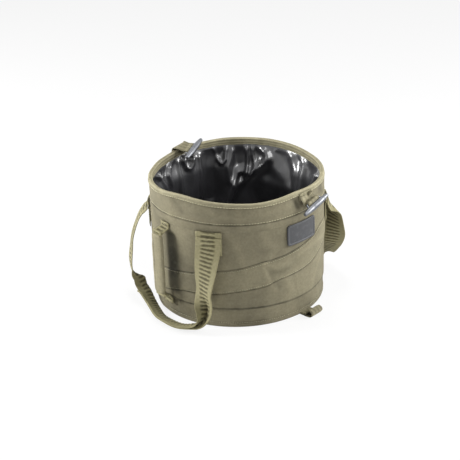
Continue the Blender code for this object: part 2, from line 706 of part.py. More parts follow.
def make_rear_toggle():
    """The rear toggle, its strap thrown over the rim into the mouth."""
    angle = REAR_STRAP_ANGLE
    root_radius = make_strap_end("rear_strap_end", angle)
    centre = around(REAR_TOGGLE_ANGLE, WALL_RADIUS - REAR_TOGGLE_IN, HEIGHT + REAR_TOGGLE_RISE)
    along = bar_direction(REAR_TOGGLE_HEADING, REAR_TOGGLE_TILT)
    hang = square_to(-outward(angle), along)
    root = [
        around(angle, root_radius, STRAP_ROOT_HEIGHT), around(angle, root_radius, HEIGHT - LAP),
        around(angle, root_radius - 1.25 * TAPE_CLOTH, HEIGHT + 2.8 * TAPE_CLOTH),
        around(angle, root_radius - 5.8 * TAPE_CLOTH, HEIGHT + 4.3 * TAPE_CLOTH),
    ]
    strap = make_toggle_strap(
        "rear_toggle_strap", root, -tangent(angle), centre, along, hang, -along.cross(hang))
    toggle = make_toggle("rear_toggle", centre, along, hang)
    pivot("rear_strap_pivot", root[0], [strap])
    pivot("rear_toggle_pivot", centre - hang * EYE_DROP, [toggle])


def make_base_tab(side, angle):
    """A loop of webbing at the foot, which takes a toggle when the bucket is pressed flat."""
    thick = TAPE_CLOTH
    sewn = BASE_RADIUS + 2 * GAP
    start, reach = sewn + TAB_ROOT + GAP, TAB_LENGTH
    end = start + reach
    under = 2 * GAP + thick / 2
    root = under + thick + GAP
    crown = under + thick + TAB_OPENING
    middle = (under + root) / 2
    sewn_path = [around(angle, r, middle) for r in (sewn, sewn + TAB_ROOT)]
    strip(f"{side}_tab_root", sewn_path, [tangent(angle)] * 2, [STRAP_WIDTH] * 2, [2 * thick + GAP] * 2,
          "webbing")
    profile = [
        (start, under), (start + 0.3 * reach, under), (end - 0.25 * reach, under + 0.03 * reach),
        (end - 0.08 * reach, under + 0.2 * reach), (end, (under + crown) / 2),
        (end - 0.1 * reach, crown - 0.11 * reach), (end - 0.4 * reach, crown),
        (start + 0.3 * reach, crown - 0.2 * reach), (start + 0.18 * reach, root + 0.1 * reach),
        (start + 0.09 * reach, root), (start, root),
    ]
    path = smooth_path([around(angle, r, z) for r, z in profile])
    count = len(path)
    tab = strip(f"{side}_base_tab", path, [tangent(angle)] * count, [STRAP_WIDTH] * count, [thick] * count,
                "webbing")
    pivot(f"{side}_base_tab_pivot", around(angle, start, root + thick / 2), [tab])


def build():
    """The whole bucket."""
    clear_scene()
    make_base()
    make_wall()
    make_rim()
    make_liner()
    make_coil()
    make_sleeve()
    make_badge()
    make_handle_ends()
    make_carry_handle("left", LEFT_ROUTE, HANDLE_AXIS_ANGLE, GRIP_SPAN)
    make_carry_handle("right", RIGHT_ROUTE, HANDLE_AXIS_ANGLE + 180, tuple(1 - s for s in GRIP_SPAN[::-1]))
    make_grab_handle()
    make_front_toggle()
    make_rear_toggle()
    make_base_tab("front", 2.0)
    make_base_tab("rear", 182.0)


build()
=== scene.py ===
# %% [markdown]
# # A collapsible water bucket
# The real bucket is a drum of coated polyester cloth with a loose waterproof liner. A sprung
# steel coil, sewn into a sleeve that climbs the wall, pushes it open, and two toggles hold it
# flat when it is pressed down. The CAD model gives the frame: every piece below is made in
# metres in the same place, dressed as the cloth, webbing, rubber and metal that it is, and
# then told which moving body it belongs to.

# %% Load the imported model
import math

import bmesh
import bpy
import numpy as np
from mathutils import Matrix, Vector


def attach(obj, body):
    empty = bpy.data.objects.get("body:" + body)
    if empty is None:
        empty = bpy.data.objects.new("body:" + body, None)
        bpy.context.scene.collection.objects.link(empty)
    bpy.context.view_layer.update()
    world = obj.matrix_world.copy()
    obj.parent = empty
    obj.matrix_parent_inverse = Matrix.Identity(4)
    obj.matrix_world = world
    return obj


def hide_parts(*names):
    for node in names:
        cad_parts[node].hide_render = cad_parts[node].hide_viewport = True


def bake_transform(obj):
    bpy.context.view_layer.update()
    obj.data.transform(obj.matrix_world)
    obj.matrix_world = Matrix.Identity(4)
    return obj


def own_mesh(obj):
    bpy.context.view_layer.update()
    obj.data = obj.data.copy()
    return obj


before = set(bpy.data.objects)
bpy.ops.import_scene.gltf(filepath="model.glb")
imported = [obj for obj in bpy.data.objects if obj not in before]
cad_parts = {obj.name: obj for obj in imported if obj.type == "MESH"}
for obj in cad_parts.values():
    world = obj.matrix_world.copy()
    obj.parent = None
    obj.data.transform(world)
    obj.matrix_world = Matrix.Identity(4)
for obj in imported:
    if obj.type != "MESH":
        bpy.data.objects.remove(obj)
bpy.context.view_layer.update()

# %% [markdown]
# ## Places on a drum
# Nearly every piece lies on or near the round wall, so a place is given as an angle from the
# front, a radius and a height. The three helpers turn that into points, and work on single
# values and on whole arrays alike.

# %% Places on the wall
MM = 0.001


def around(angle, radius, height):
    """Points at an angle in degrees from the front, a radius and a height."""
    turn = np.radians(angle)
    x, y, z = np.broadcast_arrays(radius * np.sin(turn), -radius * np.cos(turn), height)
    return np.stack([x, y, z], -1).astype(float)


def tangent(angle):
    """The level direction along the wall, towards growing angle."""
    return around(angle + 90.0, 1.0, 0.0)


def outward(angle):
    """The level direction straight out of the wall."""
    return around(angle, 1.0, 0.0)


def smooth_step(start, end, share):
    """A soft step between two values."""
    share = np.clip(share, 0.0, 1.0)
    return start + (end - start) * share * share * (3 - 2 * share)


print("one metre out, a quarter of the way round:", around(90.0, 1.0, 0.0).round(3))

# %% [markdown]
# Cloth is never perfectly even. Waves in several directions, each with its own length and
# start, add up to an irregular surface. They are taken in space and not along the wall, so
# they meet without a step where the drum closes on itself. A crease is a soft dent or ridge
# along a drawn line.

# %% Ripples and creases
def ripples(points, size, seed, count=14):
    """Smooth irregular waves of about one size over points, mostly between -1 and 1."""
    draw = np.random.default_rng(seed)
    total = np.zeros(points.shape[:-1])
    for _ in range(count):
        heading = draw.normal(size=3)
        heading /= np.linalg.norm(heading)
        length, start = size * draw.uniform(0.7, 1.6), draw.uniform(0, 2 * math.pi)
        total += np.sin(points @ heading * 2 * math.pi / length + start)
    return total / math.sqrt(count)


def line_distance(u, v, line):
    """How far places (u, v) are from a line through the given points."""
    nearest = np.full(np.broadcast(u, v).shape, 1e9)
    for (u0, v0), (u1, v1) in zip(line[:-1], line[1:]):
        du, dv = u1 - u0, v1 - v0
        share = np.clip(((u - u0) * du + (v - v0) * dv) / (du * du + dv * dv), 0, 1)
        nearest = np.minimum(nearest, np.hypot(u - u0 - share * du, v - v0 - share * dv))
    return nearest


WALL_RADIUS = 130.0 * MM
DEGREE = math.radians(1) * WALL_RADIUS


def crease(angle, height, line, depth, width):
    """A ridge, or with a negative depth a dent, along a line of (degrees, millimetres) places."""
    drawn = [(a * DEGREE, z * MM) for a, z in line]
    return depth * np.exp(-(line_distance(angle * DEGREE, height, drawn) / width) ** 2)


print(f"one degree along the wall: {DEGREE / MM:.2f} mm")

# %% [markdown]
# ## Meshes from rows of points
# Two shapes cover the soft goods. A *sheet* is rows of points joined by quads, for cloth that
# lies on the wall. A *tube* is a row of closed sections, for webbing, binding and wire. Both
# get a UV map in metres, so that a weave can be drawn at its true size on any of them.

# %% Sheets and tubes
def edit(mesh, change):
    """Change a mesh with a function that is handed an editable copy of it."""
    work = bmesh.new()
    work.from_mesh(mesh)
    change(work)
    work.to_mesh(mesh)
    work.free()


def mesh_object(name, points, faces, uvs=None, outward_faces=False):
    """A smooth object from points and faces, with one UV pair for each corner of each face."""
    mesh = bpy.data.meshes.new(name)
    mesh.from_pydata(np.asarray(points).tolist(), [], [list(face) for face in faces])
    if uvs is not None:
        mesh.uv_layers.new(name="cloth").data.foreach_set("uv", np.asarray(uvs, np.float32).ravel())
    if outward_faces:
        edit(mesh, lambda work: bmesh.ops.recalc_face_normals(work, faces=work.faces))
    mesh.shade_smooth()
    made = bpy.data.objects.new(name, mesh)
    bpy.context.scene.collection.objects.link(made)
    return made


def lengths_along(points):
    """The distance run along rows of points, starting from nought."""
    steps = np.linalg.norm(np.diff(points, axis=0), axis=-1)
    return np.concatenate([[0.0], np.cumsum(steps)])


def quads(rows, columns, wrap_rows=False, wrap_columns=False):
    """The corners of every quad in a grid, as (row, column) pairs before wrapping."""
    found = []
    for i in range(rows if wrap_rows else rows - 1):
        for j in range(columns if wrap_columns else columns - 1):
            found.append(((i, j), (i, j + 1), (i + 1, j + 1), (i + 1, j)))
    return found


def sheet(name, points, wrap=False, inside=False):
    """A sheet through rows of points; wrap joins the last column to the first."""
    rows, columns = points.shape[:2]
    closed = np.concatenate([points, points[:, :1]], 1) if wrap else points
    u = lengths_along(closed[rows // 2])
    v = lengths_along(points[:, columns // 2])
    corners = quads(rows, columns, wrap_columns=wrap)
    if inside:
        corners = [face[::-1] for face in corners]
    faces = [[i * columns + j % columns for i, j in face] for face in corners]
    uvs = [(u[j], v[i]) for face in corners for i, j in face]
    return mesh_object(name, points.reshape(-1, 3), faces, uvs)


def tube(name, sections, across, along, closed=False):
    """A skin over closed sections; across has one UV more than a section's points, for its seam."""
    rows, columns = sections.shape[:2]
    corners = quads(rows, columns, wrap_rows=closed, wrap_columns=True)
    faces = [[i % rows * columns + j % columns for i, j in face] for face in corners]
    uvs = [(across[j], along[i]) for face in corners for i, j in face]
    if not closed:
        for row in (0, rows - 1):
            faces.append([row * columns + j for j in range(columns)])
            uvs += [(across[j], along[row]) for j in range(columns)]
    return mesh_object(name, sections.reshape(-1, 3), faces, uvs, outward_faces=True)


def mark(made, name, values):
    """Store one number per point for a material or a modifier to read."""
    stored = made.data.attributes.new(name, "FLOAT", "POINT")
    stored.data.foreach_set("value", np.asarray(values, np.float32).ravel())


def settle(made):
    """Turn the evaluated object, modifiers included, into a plain mesh."""
    graph = bpy.context.evaluated_depsgraph_get()
    plain = bpy.data.meshes.new_from_object(
        made.evaluated_get(graph), preserve_all_data_layers=True, depsgraph=graph)
    made.modifiers.clear()
    made.data = plain
    plain.shade_smooth()
    return made


def thicken(made, thickness):
    """Give a sheet its thickness, inwards from the drawn side."""
    solid = made.modifiers.new("thickness", "SOLIDIFY")
    solid.thickness, solid.offset = thickness, -1.0
    return settle(made)


def triangles(made):
    """How many triangles a mesh comes to."""
    return sum(len(face.vertices) - 2 for face in made.data.polygons)


print("quads in a sheet of 3 rows of 4 points:", len(quads(3, 4)))

# %% [markdown]
# ## Paths
# Webbing follows a curve through a few knots. The curve is the same one that the CAD model
# uses, cut into even steps, so the dressed strap lies exactly where its solid does.

# %% Curves through knots
def curve_through(knots, spacing, fine=24):
    """Even points along a smooth curve, and any further columns carried along with them."""
    rows = np.asarray(knots, float)
    rows = np.concatenate([[2 * rows[0] - rows[1]], rows, [2 * rows[-1] - rows[-2]]])
    found = []
    for k in range(1, len(rows) - 2):
        before, here, there, beyond = rows[k - 1:k + 3]
        for t in np.arange(fine) / fine:
            found.append(0.5 * (
                2 * here + (there - before) * t + (2 * before - 5 * here + 4 * there - beyond) * t * t
                + (3 * here - before - 3 * there + beyond) * t ** 3))
    found = np.array(found + [rows[-2]])
    run = lengths_along(found[:, :3])
    even = np.linspace(0, run[-1], max(int(round(run[-1] / spacing)), 2) + 1)
    return np.stack([np.interp(even, run, found[:, c]) for c in range(found.shape[1])], -1)


def unit(vectors):
    """Vectors made one long."""
    return vectors / np.linalg.norm(vectors, axis=-1, keepdims=True)


def headings(path, closed=False):
    """The direction of a path at each point."""
    if closed:
        return unit(np.roll(path, -1, 0) - np.roll(path, 1, 0))
    return unit(np.gradient(path, axis=0))


def frames(path, wide, closed=False):
    """The width and face directions of a strip along a path, square to it."""
    along = headings(path, closed)
    wide = unit(wide - along * np.sum(wide * along, -1, keepdims=True))
    return wide, np.cross(along, wide)


bow = curve_through([(0.0, 0.0, 0.0), (0.05, 0.02, 0.0), (0.1, 0.0, 0.0)], 5 * MM)
print(f"a bow over 100 mm: {lengths_along(bow)[-1] / MM:.0f} mm long in {len(bow) - 1} steps")

# %% [markdown]
# ## The camera
# The photograph was taken from in front and to the left, about 24 degrees above level. Its lens
# can't be known, so a long one was assumed. With that lens, the camera's place and turn were
# fitted to the ellipses of the mouth and the foot.

# %% The camera
CAMERA_PLACE = Vector((-1.4720, -1.4216, 1.0307))
CAMERA_AIM = Vector((0.0, 0.0, 0.1))
CAMERA_ROLL = -0.03832
CAMERA_LENS, CAMERA_SENSOR = 117.39, 36.0
CAMERA_SHIFT = (-0.01809, -0.00287)


def place_camera():
    """The camera of the photograph."""
    data = bpy.data.cameras.new("camera")
    data.sensor_width, data.lens = CAMERA_SENSOR, CAMERA_LENS
    data.shift_x, data.shift_y = CAMERA_SHIFT
    ahead = (CAMERA_AIM - CAMERA_PLACE).normalized()
    level = ahead.cross(Vector((0, 0, 1))).normalized()
    above = level.cross(ahead)
    right = level * math.cos(CAMERA_ROLL) + above * math.sin(CAMERA_ROLL)
    up = above * math.cos(CAMERA_ROLL) - level * math.sin(CAMERA_ROLL)
    turn = Matrix((right, up, -ahead)).transposed().to_4x4()
    camera = bpy.data.objects.new("camera", data)
    camera.matrix_world = Matrix.Translation(CAMERA_PLACE) @ turn
    bpy.context.scene.collection.objects.link(camera)
    bpy.context.scene.camera = camera


place_camera()
print("camera distance", round((CAMERA_AIM - CAMERA_PLACE).length, 3), "m")

# %% [markdown]
# ## Colour and nodes
# Colours are written as the hex values that a screen shows and turned into the linear light
# that a shader works in by one function. One more function adds a node to any tree: its
# settings, and its inputs as plain values or as the sockets that feed them.

# %% Colour and one node at a time
def linear(hex_colour):
    """An sRGB hex colour as linear red, green, blue and one for alpha."""
    parts = [int(hex_colour[i:i + 2], 16) / 255 for i in (0, 2, 4)]
    return (*[c / 12.92 if c <= 0.04045 else ((c + 0.055) / 1.055) ** 2.4 for c in parts], 1.0)


def toned(hex_colour, share):
    """A hex colour made darker or paler by a share of each channel."""
    parts = [min(round(int(hex_colour[i:i + 2], 16) * share), 255) for i in (0, 2, 4)]
    return "".join(f"{part:02X}" for part in parts)


def add(tree, kind, inputs=None, **settings):
    """Add a node to a tree with its settings, and give its inputs a value or a feeding socket."""
    node = tree.nodes.new(kind)
    for name, value in settings.items():
        setattr(node, name, value)
    for name, value in (inputs or {}).items():
        if isinstance(value, bpy.types.NodeSocket):
            tree.links.new(value, node.inputs[name])
        else:
            node.inputs[name].default_value = value
    return node


def material(name):
    """An empty material's tree, and the material."""
    made = bpy.data.materials.new(name)
    made.use_nodes = True
    made.node_tree.nodes.clear()
    return made, made.node_tree


print("middle grey in linear light:", round(linear("808080")[0], 3))

# %% [markdown]
# ## Floor and light
# A plain white room: a pale floor that shines white to the camera and keeps a faint shadow,
# a soft white world, and five soft boxes. The main one, small and in front to the left, draws
# the handles' shadows on the wall. One at each side lights the edges of the drum more than its
# middle, and one overhead and one in front shine on the rim and on the liner's folds.

# %% The white room
WHITE = linear("FFFFFF")
FLOOR_SHINE, FLOOR_HALF, FLOOR_DROP = 0.84, 3.0, 0.2 * MM


def seen_directly(tree):
    """One for what the camera, a mirror or glass sees, and nought for the light on things."""
    path = add(tree, "ShaderNodeLightPath")
    seen = path.outputs["Is Camera Ray"]
    for ray in ("Is Glossy Ray", "Is Transmission Ray"):
        seen = add(tree, "ShaderNodeMath", {0: seen, 1: path.outputs[ray]}, operation="MAXIMUM").outputs[0]
    return seen


def make_world(strength):
    """White where it is seen, and a plain soft light on everything."""
    world = bpy.data.worlds.new("white_room")
    world.use_nodes = True
    tree = world.node_tree
    tree.nodes.clear()
    soft = add(tree, "ShaderNodeBackground", {"Color": WHITE, "Strength": strength})
    white = add(tree, "ShaderNodeBackground", {"Color": WHITE, "Strength": 1.0})
    mix = add(tree, "ShaderNodeMixShader", {0: seen_directly(tree), 1: soft.outputs[0], 2: white.outputs[0]})
    add(tree, "ShaderNodeOutputWorld", {"Surface": mix.outputs[0]})
    bpy.context.scene.world = world


def make_floor():
    """A matt white floor, a hair below the bucket."""
    corners = [(x * FLOOR_HALF, y * FLOOR_HALF, -FLOOR_DROP) for x, y in ((-1, -1), (1, -1), (1, 1), (-1, 1))]
    floor = mesh_object("floor", corners, [(0, 1, 2, 3)])
    made, tree = material("matt_white_floor")
    matt = add(tree, "ShaderNodeBsdfDiffuse", {"Color": linear("F4F4F4")})
    shine = add(tree, "ShaderNodeEmission", {"Color": WHITE, "Strength": 1.0})
    share = add(tree, "ShaderNodeMath", {0: seen_directly(tree), 1: FLOOR_SHINE}, operation="MULTIPLY")
    mix = add(tree, "ShaderNodeMixShader", {0: share.outputs[0], 1: matt.outputs[0], 2: shine.outputs[0]})
    add(tree, "ShaderNodeOutputMaterial", {"Surface": mix.outputs[0]})
    floor.data.materials.append(made)


def soft_box(name, place, size, power):
    """A square lamp that faces the bucket."""
    data = bpy.data.lights.new(name, "AREA")
    data.shape, data.size, data.energy = "SQUARE", size, power
    lamp = bpy.data.objects.new(name, data)
    lamp.location = place
    lamp.rotation_euler = (CAMERA_AIM - Vector(place)).to_track_quat("-Z", "Y").to_euler()
    bpy.context.scene.collection.objects.link(lamp)


# The picture's right, and the level way into the picture
RIGHT = Vector((0.6947, -0.7193, 0.0))
BACK = Vector((0.7193, 0.6947, 0.0))
UP = Vector((0.0, 0.0, 1.0))
# Each box's metres to the right, back and up, its side in metres and its power in watts
SOFT_BOXES = {
    "left_box": (-1.5, -0.05, 0.7, 0.4, 22.0), "right_box": (1.5, 0.0, 0.8, 0.7, 28.0),
    "top_box": (0.0, 0.15, 1.5, 0.4, 7.0), "edge_box": (-1.5, 0.7, 0.7, 0.5, 13.0),
    "front_box": (0.6, -1.1, 1.3, 0.5, 8.0),
}

make_world(0.14)
make_floor()
for name, (right, back, up, size, power) in SOFT_BOXES.items():
    soft_box(name, RIGHT * right + BACK * back + UP * up, size, power)
bpy.context.scene.view_settings.view_transform = "Standard"

# %% [markdown]
# ## Cloth
# The drum is plain-woven polyester, coated on its inner side: matt and a little dusty, with
# painted light on its ridges and painted shade in its dents. Two crossed waves draw the threads.
# Real ones are about half a millimetre apart, finer than a pixel here, so they are drawn at 1.3 mm.
# Broad noise gives the uneven dye and the dust. The ridges and dents come from the mesh itself,
# through the *relief* value stored at each point: 0 is deep and painted dark, 1 is high and painted pale.

# %% Woven cloth
DUST, SHEEN = "A8A48C", "C9C4A4"
# A wave texture at scale 1 repeats every 0.31416 m
WAVE_LENGTH = 0.31416


def threads(tree, place, spacing):
    """Crossed threads as a height from 0 to 1, spacing metres apart."""
    rows = []
    for direction in ("X", "Y"):
        wave = add(tree, "ShaderNodeTexWave", {
            "Vector": place, "Scale": WAVE_LENGTH / spacing, "Distortion": 0.6, "Detail": 1.0,
            "Detail Scale": 2.0,
        }, wave_type="BANDS", bands_direction=direction)
        rows.append(wave.outputs["Fac"])
    return add(tree, "ShaderNodeMath", {0: rows[0], 1: rows[1]}, operation="MULTIPLY").outputs[0]


def patches(tree, place, size, detail=3.0, low=0.3, high=0.7):
    """Uneven patches of about a size in metres, from 0 to 1; low to high of the noise is kept."""
    found = add(tree, "ShaderNodeTexNoise", {
        "Vector": place, "Scale": 1 / size, "Detail": detail, "Roughness": 0.55}).outputs["Fac"]
    stretched = add(tree, "ShaderNodeMapRange", {"Value": found, "From Min": low, "From Max": high})
    return stretched.outputs["Result"]


def layered(tree, base, *layers):
    """A colour with others laid over it, each as (share from 0 to 1, colour)."""
    for share, over in layers:
        base = add(tree, "ShaderNodeMix", {0: share, 6: base, 7: over}, data_type="RGBA").outputs[2]
    return base


def woven(name, dark, plain, pale, spacing, roughness, depth, dusty=0.12):
    """Matt woven cloth: painted shade in its dents, plain, and painted light on its ridges."""
    made, tree = material(name)
    place = add(tree, "ShaderNodeUVMap", uv_map="cloth").outputs["UV"]
    solid = add(tree, "ShaderNodeTexCoord").outputs["Object"]
    relief = add(tree, "ShaderNodeAttribute", attribute_name="relief").outputs["Fac"]
    # The relief paints shade into dents below 0.5 and light onto ridges above it
    deep = add(tree, "ShaderNodeMapRange", {"Value": relief, "From Min": 0.0, "From Max": 0.5})
    high = add(tree, "ShaderNodeMapRange", {"Value": relief, "From Min": 0.5, "From Max": 1.0})
    dyed = layered(tree, linear(plain), (patches(tree, solid, 0.035), linear(toned(plain, 0.95))))
    dusting = add(tree, "ShaderNodeMath", {0: patches(tree, solid, 0.012, 6.0, 0.52, 0.75), 1: dusty},
                  operation="MULTIPLY")
    colour = layered(tree, linear(dark), (deep.outputs["Result"], dyed),
                     (high.outputs["Result"], linear(pale)), (dusting.outputs[0], linear(DUST)))
    weave = threads(tree, place, spacing)
    shade = add(tree, "ShaderNodeMapRange", {"Value": weave, "To Min": 0.82, "To Max": 1.08})
    flecks = add(tree, "ShaderNodeMapRange", {
        "Value": patches(tree, solid, 0.0035, 2.0), "To Min": 0.90, "To Max": 1.08})
    shade = add(tree, "ShaderNodeMath", {0: shade.outputs["Result"], 1: flecks.outputs["Result"]},
                operation="MULTIPLY")
    shaded = add(tree, "ShaderNodeVectorMath", {0: colour, "Scale": shade.outputs[0]}, operation="SCALE")
    grain = add(tree, "ShaderNodeMath", {0: weave, 1: patches(tree, solid, 0.003, 2.0)}, operation="ADD")
    bump = add(tree, "ShaderNodeBump", {"Strength": 1.0, "Distance": depth, "Height": grain.outputs[0]})
    shader = add(tree, "ShaderNodeBsdfPrincipled", {
        "Base Color": shaded.outputs[0], "Roughness": roughness, "Normal": bump.outputs[0],
        "Sheen Weight": 0.12, "Sheen Roughness": 0.5, "Sheen Tint": linear(SHEEN),
        "Specular IOR Level": 0.3,
    })
    add(tree, "ShaderNodeOutputMaterial", {"Surface": shader.outputs[0]})
    return made


# Coated 600-denier polyester: matt, dusty olive
coated_cloth = woven("coated_polyester", "2B291E", "7E7862", "999277", 1.3 * MM, 0.82, 0.08 * MM)
# The same cloth where the coil's sleeve lies double, a shade paler: painted light on its raised cushion
lit_sleeve_cloth = woven("sleeve_polyester_painted_light", "2B291E", "827C65", "9D967A", 1.3 * MM, 0.82, 0.08 * MM)
# Polypropylene webbing: greener and warmer, with a coarser weave; its ribs are in the mesh
ribbed_webbing = woven("ribbed_webbing", "443F2B", "86805F", "AFA883", 1.8 * MM, 0.72, 0.16 * MM, dusty=0.1)
# Narrow plain tape on the rim, the toggle straps and the tabs
plain_tape = woven("plain_tape", "423F2A", "8C866C", "B3AC8D", 1.6 * MM, 0.75, 0.14 * MM, dusty=0.1)
print("cloths:", [m.name for m in (coated_cloth, lit_sleeve_cloth, ribbed_webbing, plain_tape)])

# %% [markdown]
# ## Liner, rubber, metal and thread
# The liner is soft PVC film: black, with a wet shine that is a little uneven. The badge is
# moulded rubber with a fine spark-eroded grain. The toggles are cast zinc with satin nickel
# plating, the wires are zinc-plated spring steel, and the thread is bonded nylon, paler than
# the cloth it holds, or black on the badge.

# %% Film, rubber and metal
def film(name, hex_colour, coat):
    """Soft PVC film: glossy, with faint orange peel and fine crumples."""
    made, tree = material(name)
    solid = add(tree, "ShaderNodeTexCoord").outputs["Object"]
    crumple = add(tree, "ShaderNodeTexNoise", {
        "Vector": solid, "Scale": 70.0, "Detail": 4.0, "Roughness": 0.6, "Distortion": 0.8})
    bump = add(tree, "ShaderNodeBump", {
        "Strength": 1.0, "Distance": 0.12 * MM, "Height": crumple.outputs["Fac"]})
    gloss = add(tree, "ShaderNodeMapRange", {
        "Value": patches(tree, solid, 0.02), "To Min": 0.40, "To Max": 0.52})
    colour = layered(tree, linear(hex_colour), (patches(tree, solid, 0.03), linear("2B2B2E")))
    shader = add(tree, "ShaderNodeBsdfPrincipled", {
        "Base Color": colour, "Roughness": gloss.outputs["Result"], "Normal": bump.outputs[0], "IOR": 1.53,
        "Coat Weight": coat, "Coat Roughness": 0.19, "Coat IOR": 1.6,
    })
    add(tree, "ShaderNodeOutputMaterial", {"Surface": shader.outputs[0]})
    return made


def moulded(name, hex_colour, pale):
    """Moulded rubber with a fine grain, paler on its border and in patches."""
    made, tree = material(name)
    solid = add(tree, "ShaderNodeTexCoord").outputs["Object"]
    relief = add(tree, "ShaderNodeAttribute", attribute_name="relief").outputs["Fac"]
    rubbed = add(tree, "ShaderNodeMath", {0: patches(tree, solid, 0.006, 5.0, 0.5, 0.85), 1: 0.4},
                 operation="MULTIPLY")
    colour = layered(tree, linear(hex_colour), (relief, linear(toned(hex_colour, 1.35))),
                     (rubbed.outputs[0], linear(pale)))
    grain = add(tree, "ShaderNodeTexNoise", {"Vector": solid, "Scale": 1 / (1.0 * MM), "Detail": 2.0})
    bump = add(tree, "ShaderNodeBump", {
        "Strength": 1.0, "Distance": 0.06 * MM, "Height": grain.outputs["Fac"]})
    shader = add(tree, "ShaderNodeBsdfPrincipled", {
        "Base Color": colour, "Roughness": 0.55, "Normal": bump.outputs[0], "IOR": 1.52,
    })
    add(tree, "ShaderNodeOutputMaterial", {"Surface": shader.outputs[0]})
    return made


def plated(name, hex_colour, dull, low, high, grain_size):
    """Plated metal: a satin grain, and duller where it has been handled."""
    made, tree = material(name)
    solid = add(tree, "ShaderNodeTexCoord").outputs["Object"]
    worn = patches(tree, solid, 0.008, 4.0, 0.4, 0.7)
    colour = layered(tree, linear(hex_colour), (worn, linear(dull)))
    rough = add(tree, "ShaderNodeMapRange", {"Value": worn, "To Min": low, "To Max": high})
    grain = add(tree, "ShaderNodeTexNoise", {"Vector": solid, "Scale": 1 / grain_size, "Detail": 2.0})
    bump = add(tree, "ShaderNodeBump", {
        "Strength": 1.0, "Distance": 0.02 * MM, "Height": grain.outputs["Fac"]})
    shader = add(tree, "ShaderNodeBsdfPrincipled", {
        "Base Color": colour, "Metallic": 1.0, "Roughness": rough.outputs["Result"],
        "Normal": bump.outputs[0],
    })
    add(tree, "ShaderNodeOutputMaterial", {"Surface": shader.outputs[0]})
    return made


def spun(name, dark, pale):
    """Bonded thread: two shades along its twist."""
    made, tree = material(name)
    solid = add(tree, "ShaderNodeTexCoord").outputs["Object"]
    colour = layered(tree, linear(dark), (patches(tree, solid, 0.002, 2.0), linear(pale)))
    shader = add(tree, "ShaderNodeBsdfPrincipled", {
        "Base Color": colour, "Roughness": 0.6, "Sheen Weight": 0.2})
    add(tree, "ShaderNodeOutputMaterial", {"Surface": shader.outputs[0]})
    return made


liner_film = film("black_pvc_film", "1B1B1D", 1.0)
# The same film with less gloss, for the bottom: a guess, as the photograph doesn't show it
dull_film = film("dull_pvc_film", "161618", 0.35)
badge_rubber = moulded("moulded_rubber", "333436", "68686B")
satin_nickel = plated("satin_nickel_zinc", "7C7E82", "606266", 0.44, 0.58, 0.8 * MM)
zinc_steel = plated("zinc_plated_steel", "8C8F94", "6E7074", 0.30, 0.50, 0.6 * MM)
nylon_thread = spun("bonded_nylon_thread", "B0AA88", "CDC7A4")
badge_thread = spun("black_nylon_thread", "222326", "3A3B3E")
print("materials:", len(bpy.data.materials))

# %% [markdown]
# ## Stitches
# Hundreds of stitches follow the seams, so Geometry Nodes place them. A seam is a bare line of
# edges. The tree makes it a curve, cuts it into even steps of one stitch, puts a small grain
# of thread on each point, turned along the line, and makes the copies real.

# %% A tree that sews
def new_tree(name, numbers):
    """A geometry tree with named number inputs, its group input, and its output node."""
    tree = bpy.data.node_groups.new(name, "GeometryNodeTree")
    tree.interface.new_socket("Geometry", in_out="INPUT", socket_type="NodeSocketGeometry")
    for label in numbers:
        tree.interface.new_socket(label, in_out="INPUT", socket_type="NodeSocketFloat")
    tree.interface.new_socket("Finish", in_out="INPUT", socket_type="NodeSocketMaterial")
    tree.interface.new_socket("Geometry", in_out="OUTPUT", socket_type="NodeSocketGeometry")
    return tree, tree.nodes.new("NodeGroupInput"), tree.nodes.new("NodeGroupOutput")


def end_tree(tree, given, out, geometry):
    """Make a tree's result real, give it its finish and send it out."""
    real = add(tree, "GeometryNodeRealizeInstances", {"Geometry": geometry})
    finished = add(tree, "GeometryNodeSetMaterial", {
        "Geometry": real.outputs[0], "Material": given.outputs["Finish"]})
    tree.links.new(finished.outputs[0], out.inputs[0])
    return tree


def run_tree(made, tree, values):
    """Run a tree on an object with its inputs set by their sockets, and keep the plain result."""
    change = made.modifiers.new(tree.name, "NODES")
    change.node_group = tree
    for item in tree.interface.items_tree:
        if item.in_out == "INPUT" and item.name in values:
            change[item.identifier] = values[item.name]
    return settle(made)


def sewing_tree():
    """Thread grains at even steps along a line."""
    tree, given, out = new_tree("sew", ("Pitch", "Stitch Length", "Stitch Width", "Stitch Height"))
    line = add(tree, "GeometryNodeMeshToCurve", {"Mesh": given.outputs["Geometry"]})
    even = add(tree, "GeometryNodeResampleCurve", {
        "Curve": line.outputs[0], "Length": given.outputs["Pitch"]}, mode="LENGTH")
    size = add(tree, "ShaderNodeCombineXYZ", {
        "X": given.outputs["Stitch Width"], "Y": given.outputs["Stitch Height"],
        "Z": given.outputs["Stitch Length"]})
    grain = add(tree, "GeometryNodeMeshUVSphere", {"Segments": 6, "Rings": 4, "Radius": 0.5})
    shaped = add(tree, "GeometryNodeTransform", {"Geometry": grain.outputs[0], "Scale": size.outputs[0]})
    turn = add(tree, "FunctionNodeAlignRotationToVector",
               {"Vector": add(tree, "GeometryNodeInputTangent").outputs[0]}, axis="Z")
    placed = add(tree, "GeometryNodeInstanceOnPoints", {
        "Points": even.outputs[0], "Instance": shaped.outputs[0], "Rotation": turn.outputs[0]})
    return end_tree(tree, given, out, placed.outputs[0])


SEW = sewing_tree()
STITCH_PITCH = 3.4 * MM


def bare_lines(name, lines):
    """An object of edges only, along several (points, closed) lines."""
    points, edges = [], []
    for line, closed in lines:
        first, last = len(points), len(points) + len(line) - 1
        edges += [(k, k + 1) for k in range(first, last)] + ([(last, first)] if closed else [])
        points += [tuple(point) for point in line]
    mesh = bpy.data.meshes.new(name)
    mesh.from_pydata(points, edges, [])
    made = bpy.data.objects.new(name, mesh)
    bpy.context.scene.collection.objects.link(made)
    return made


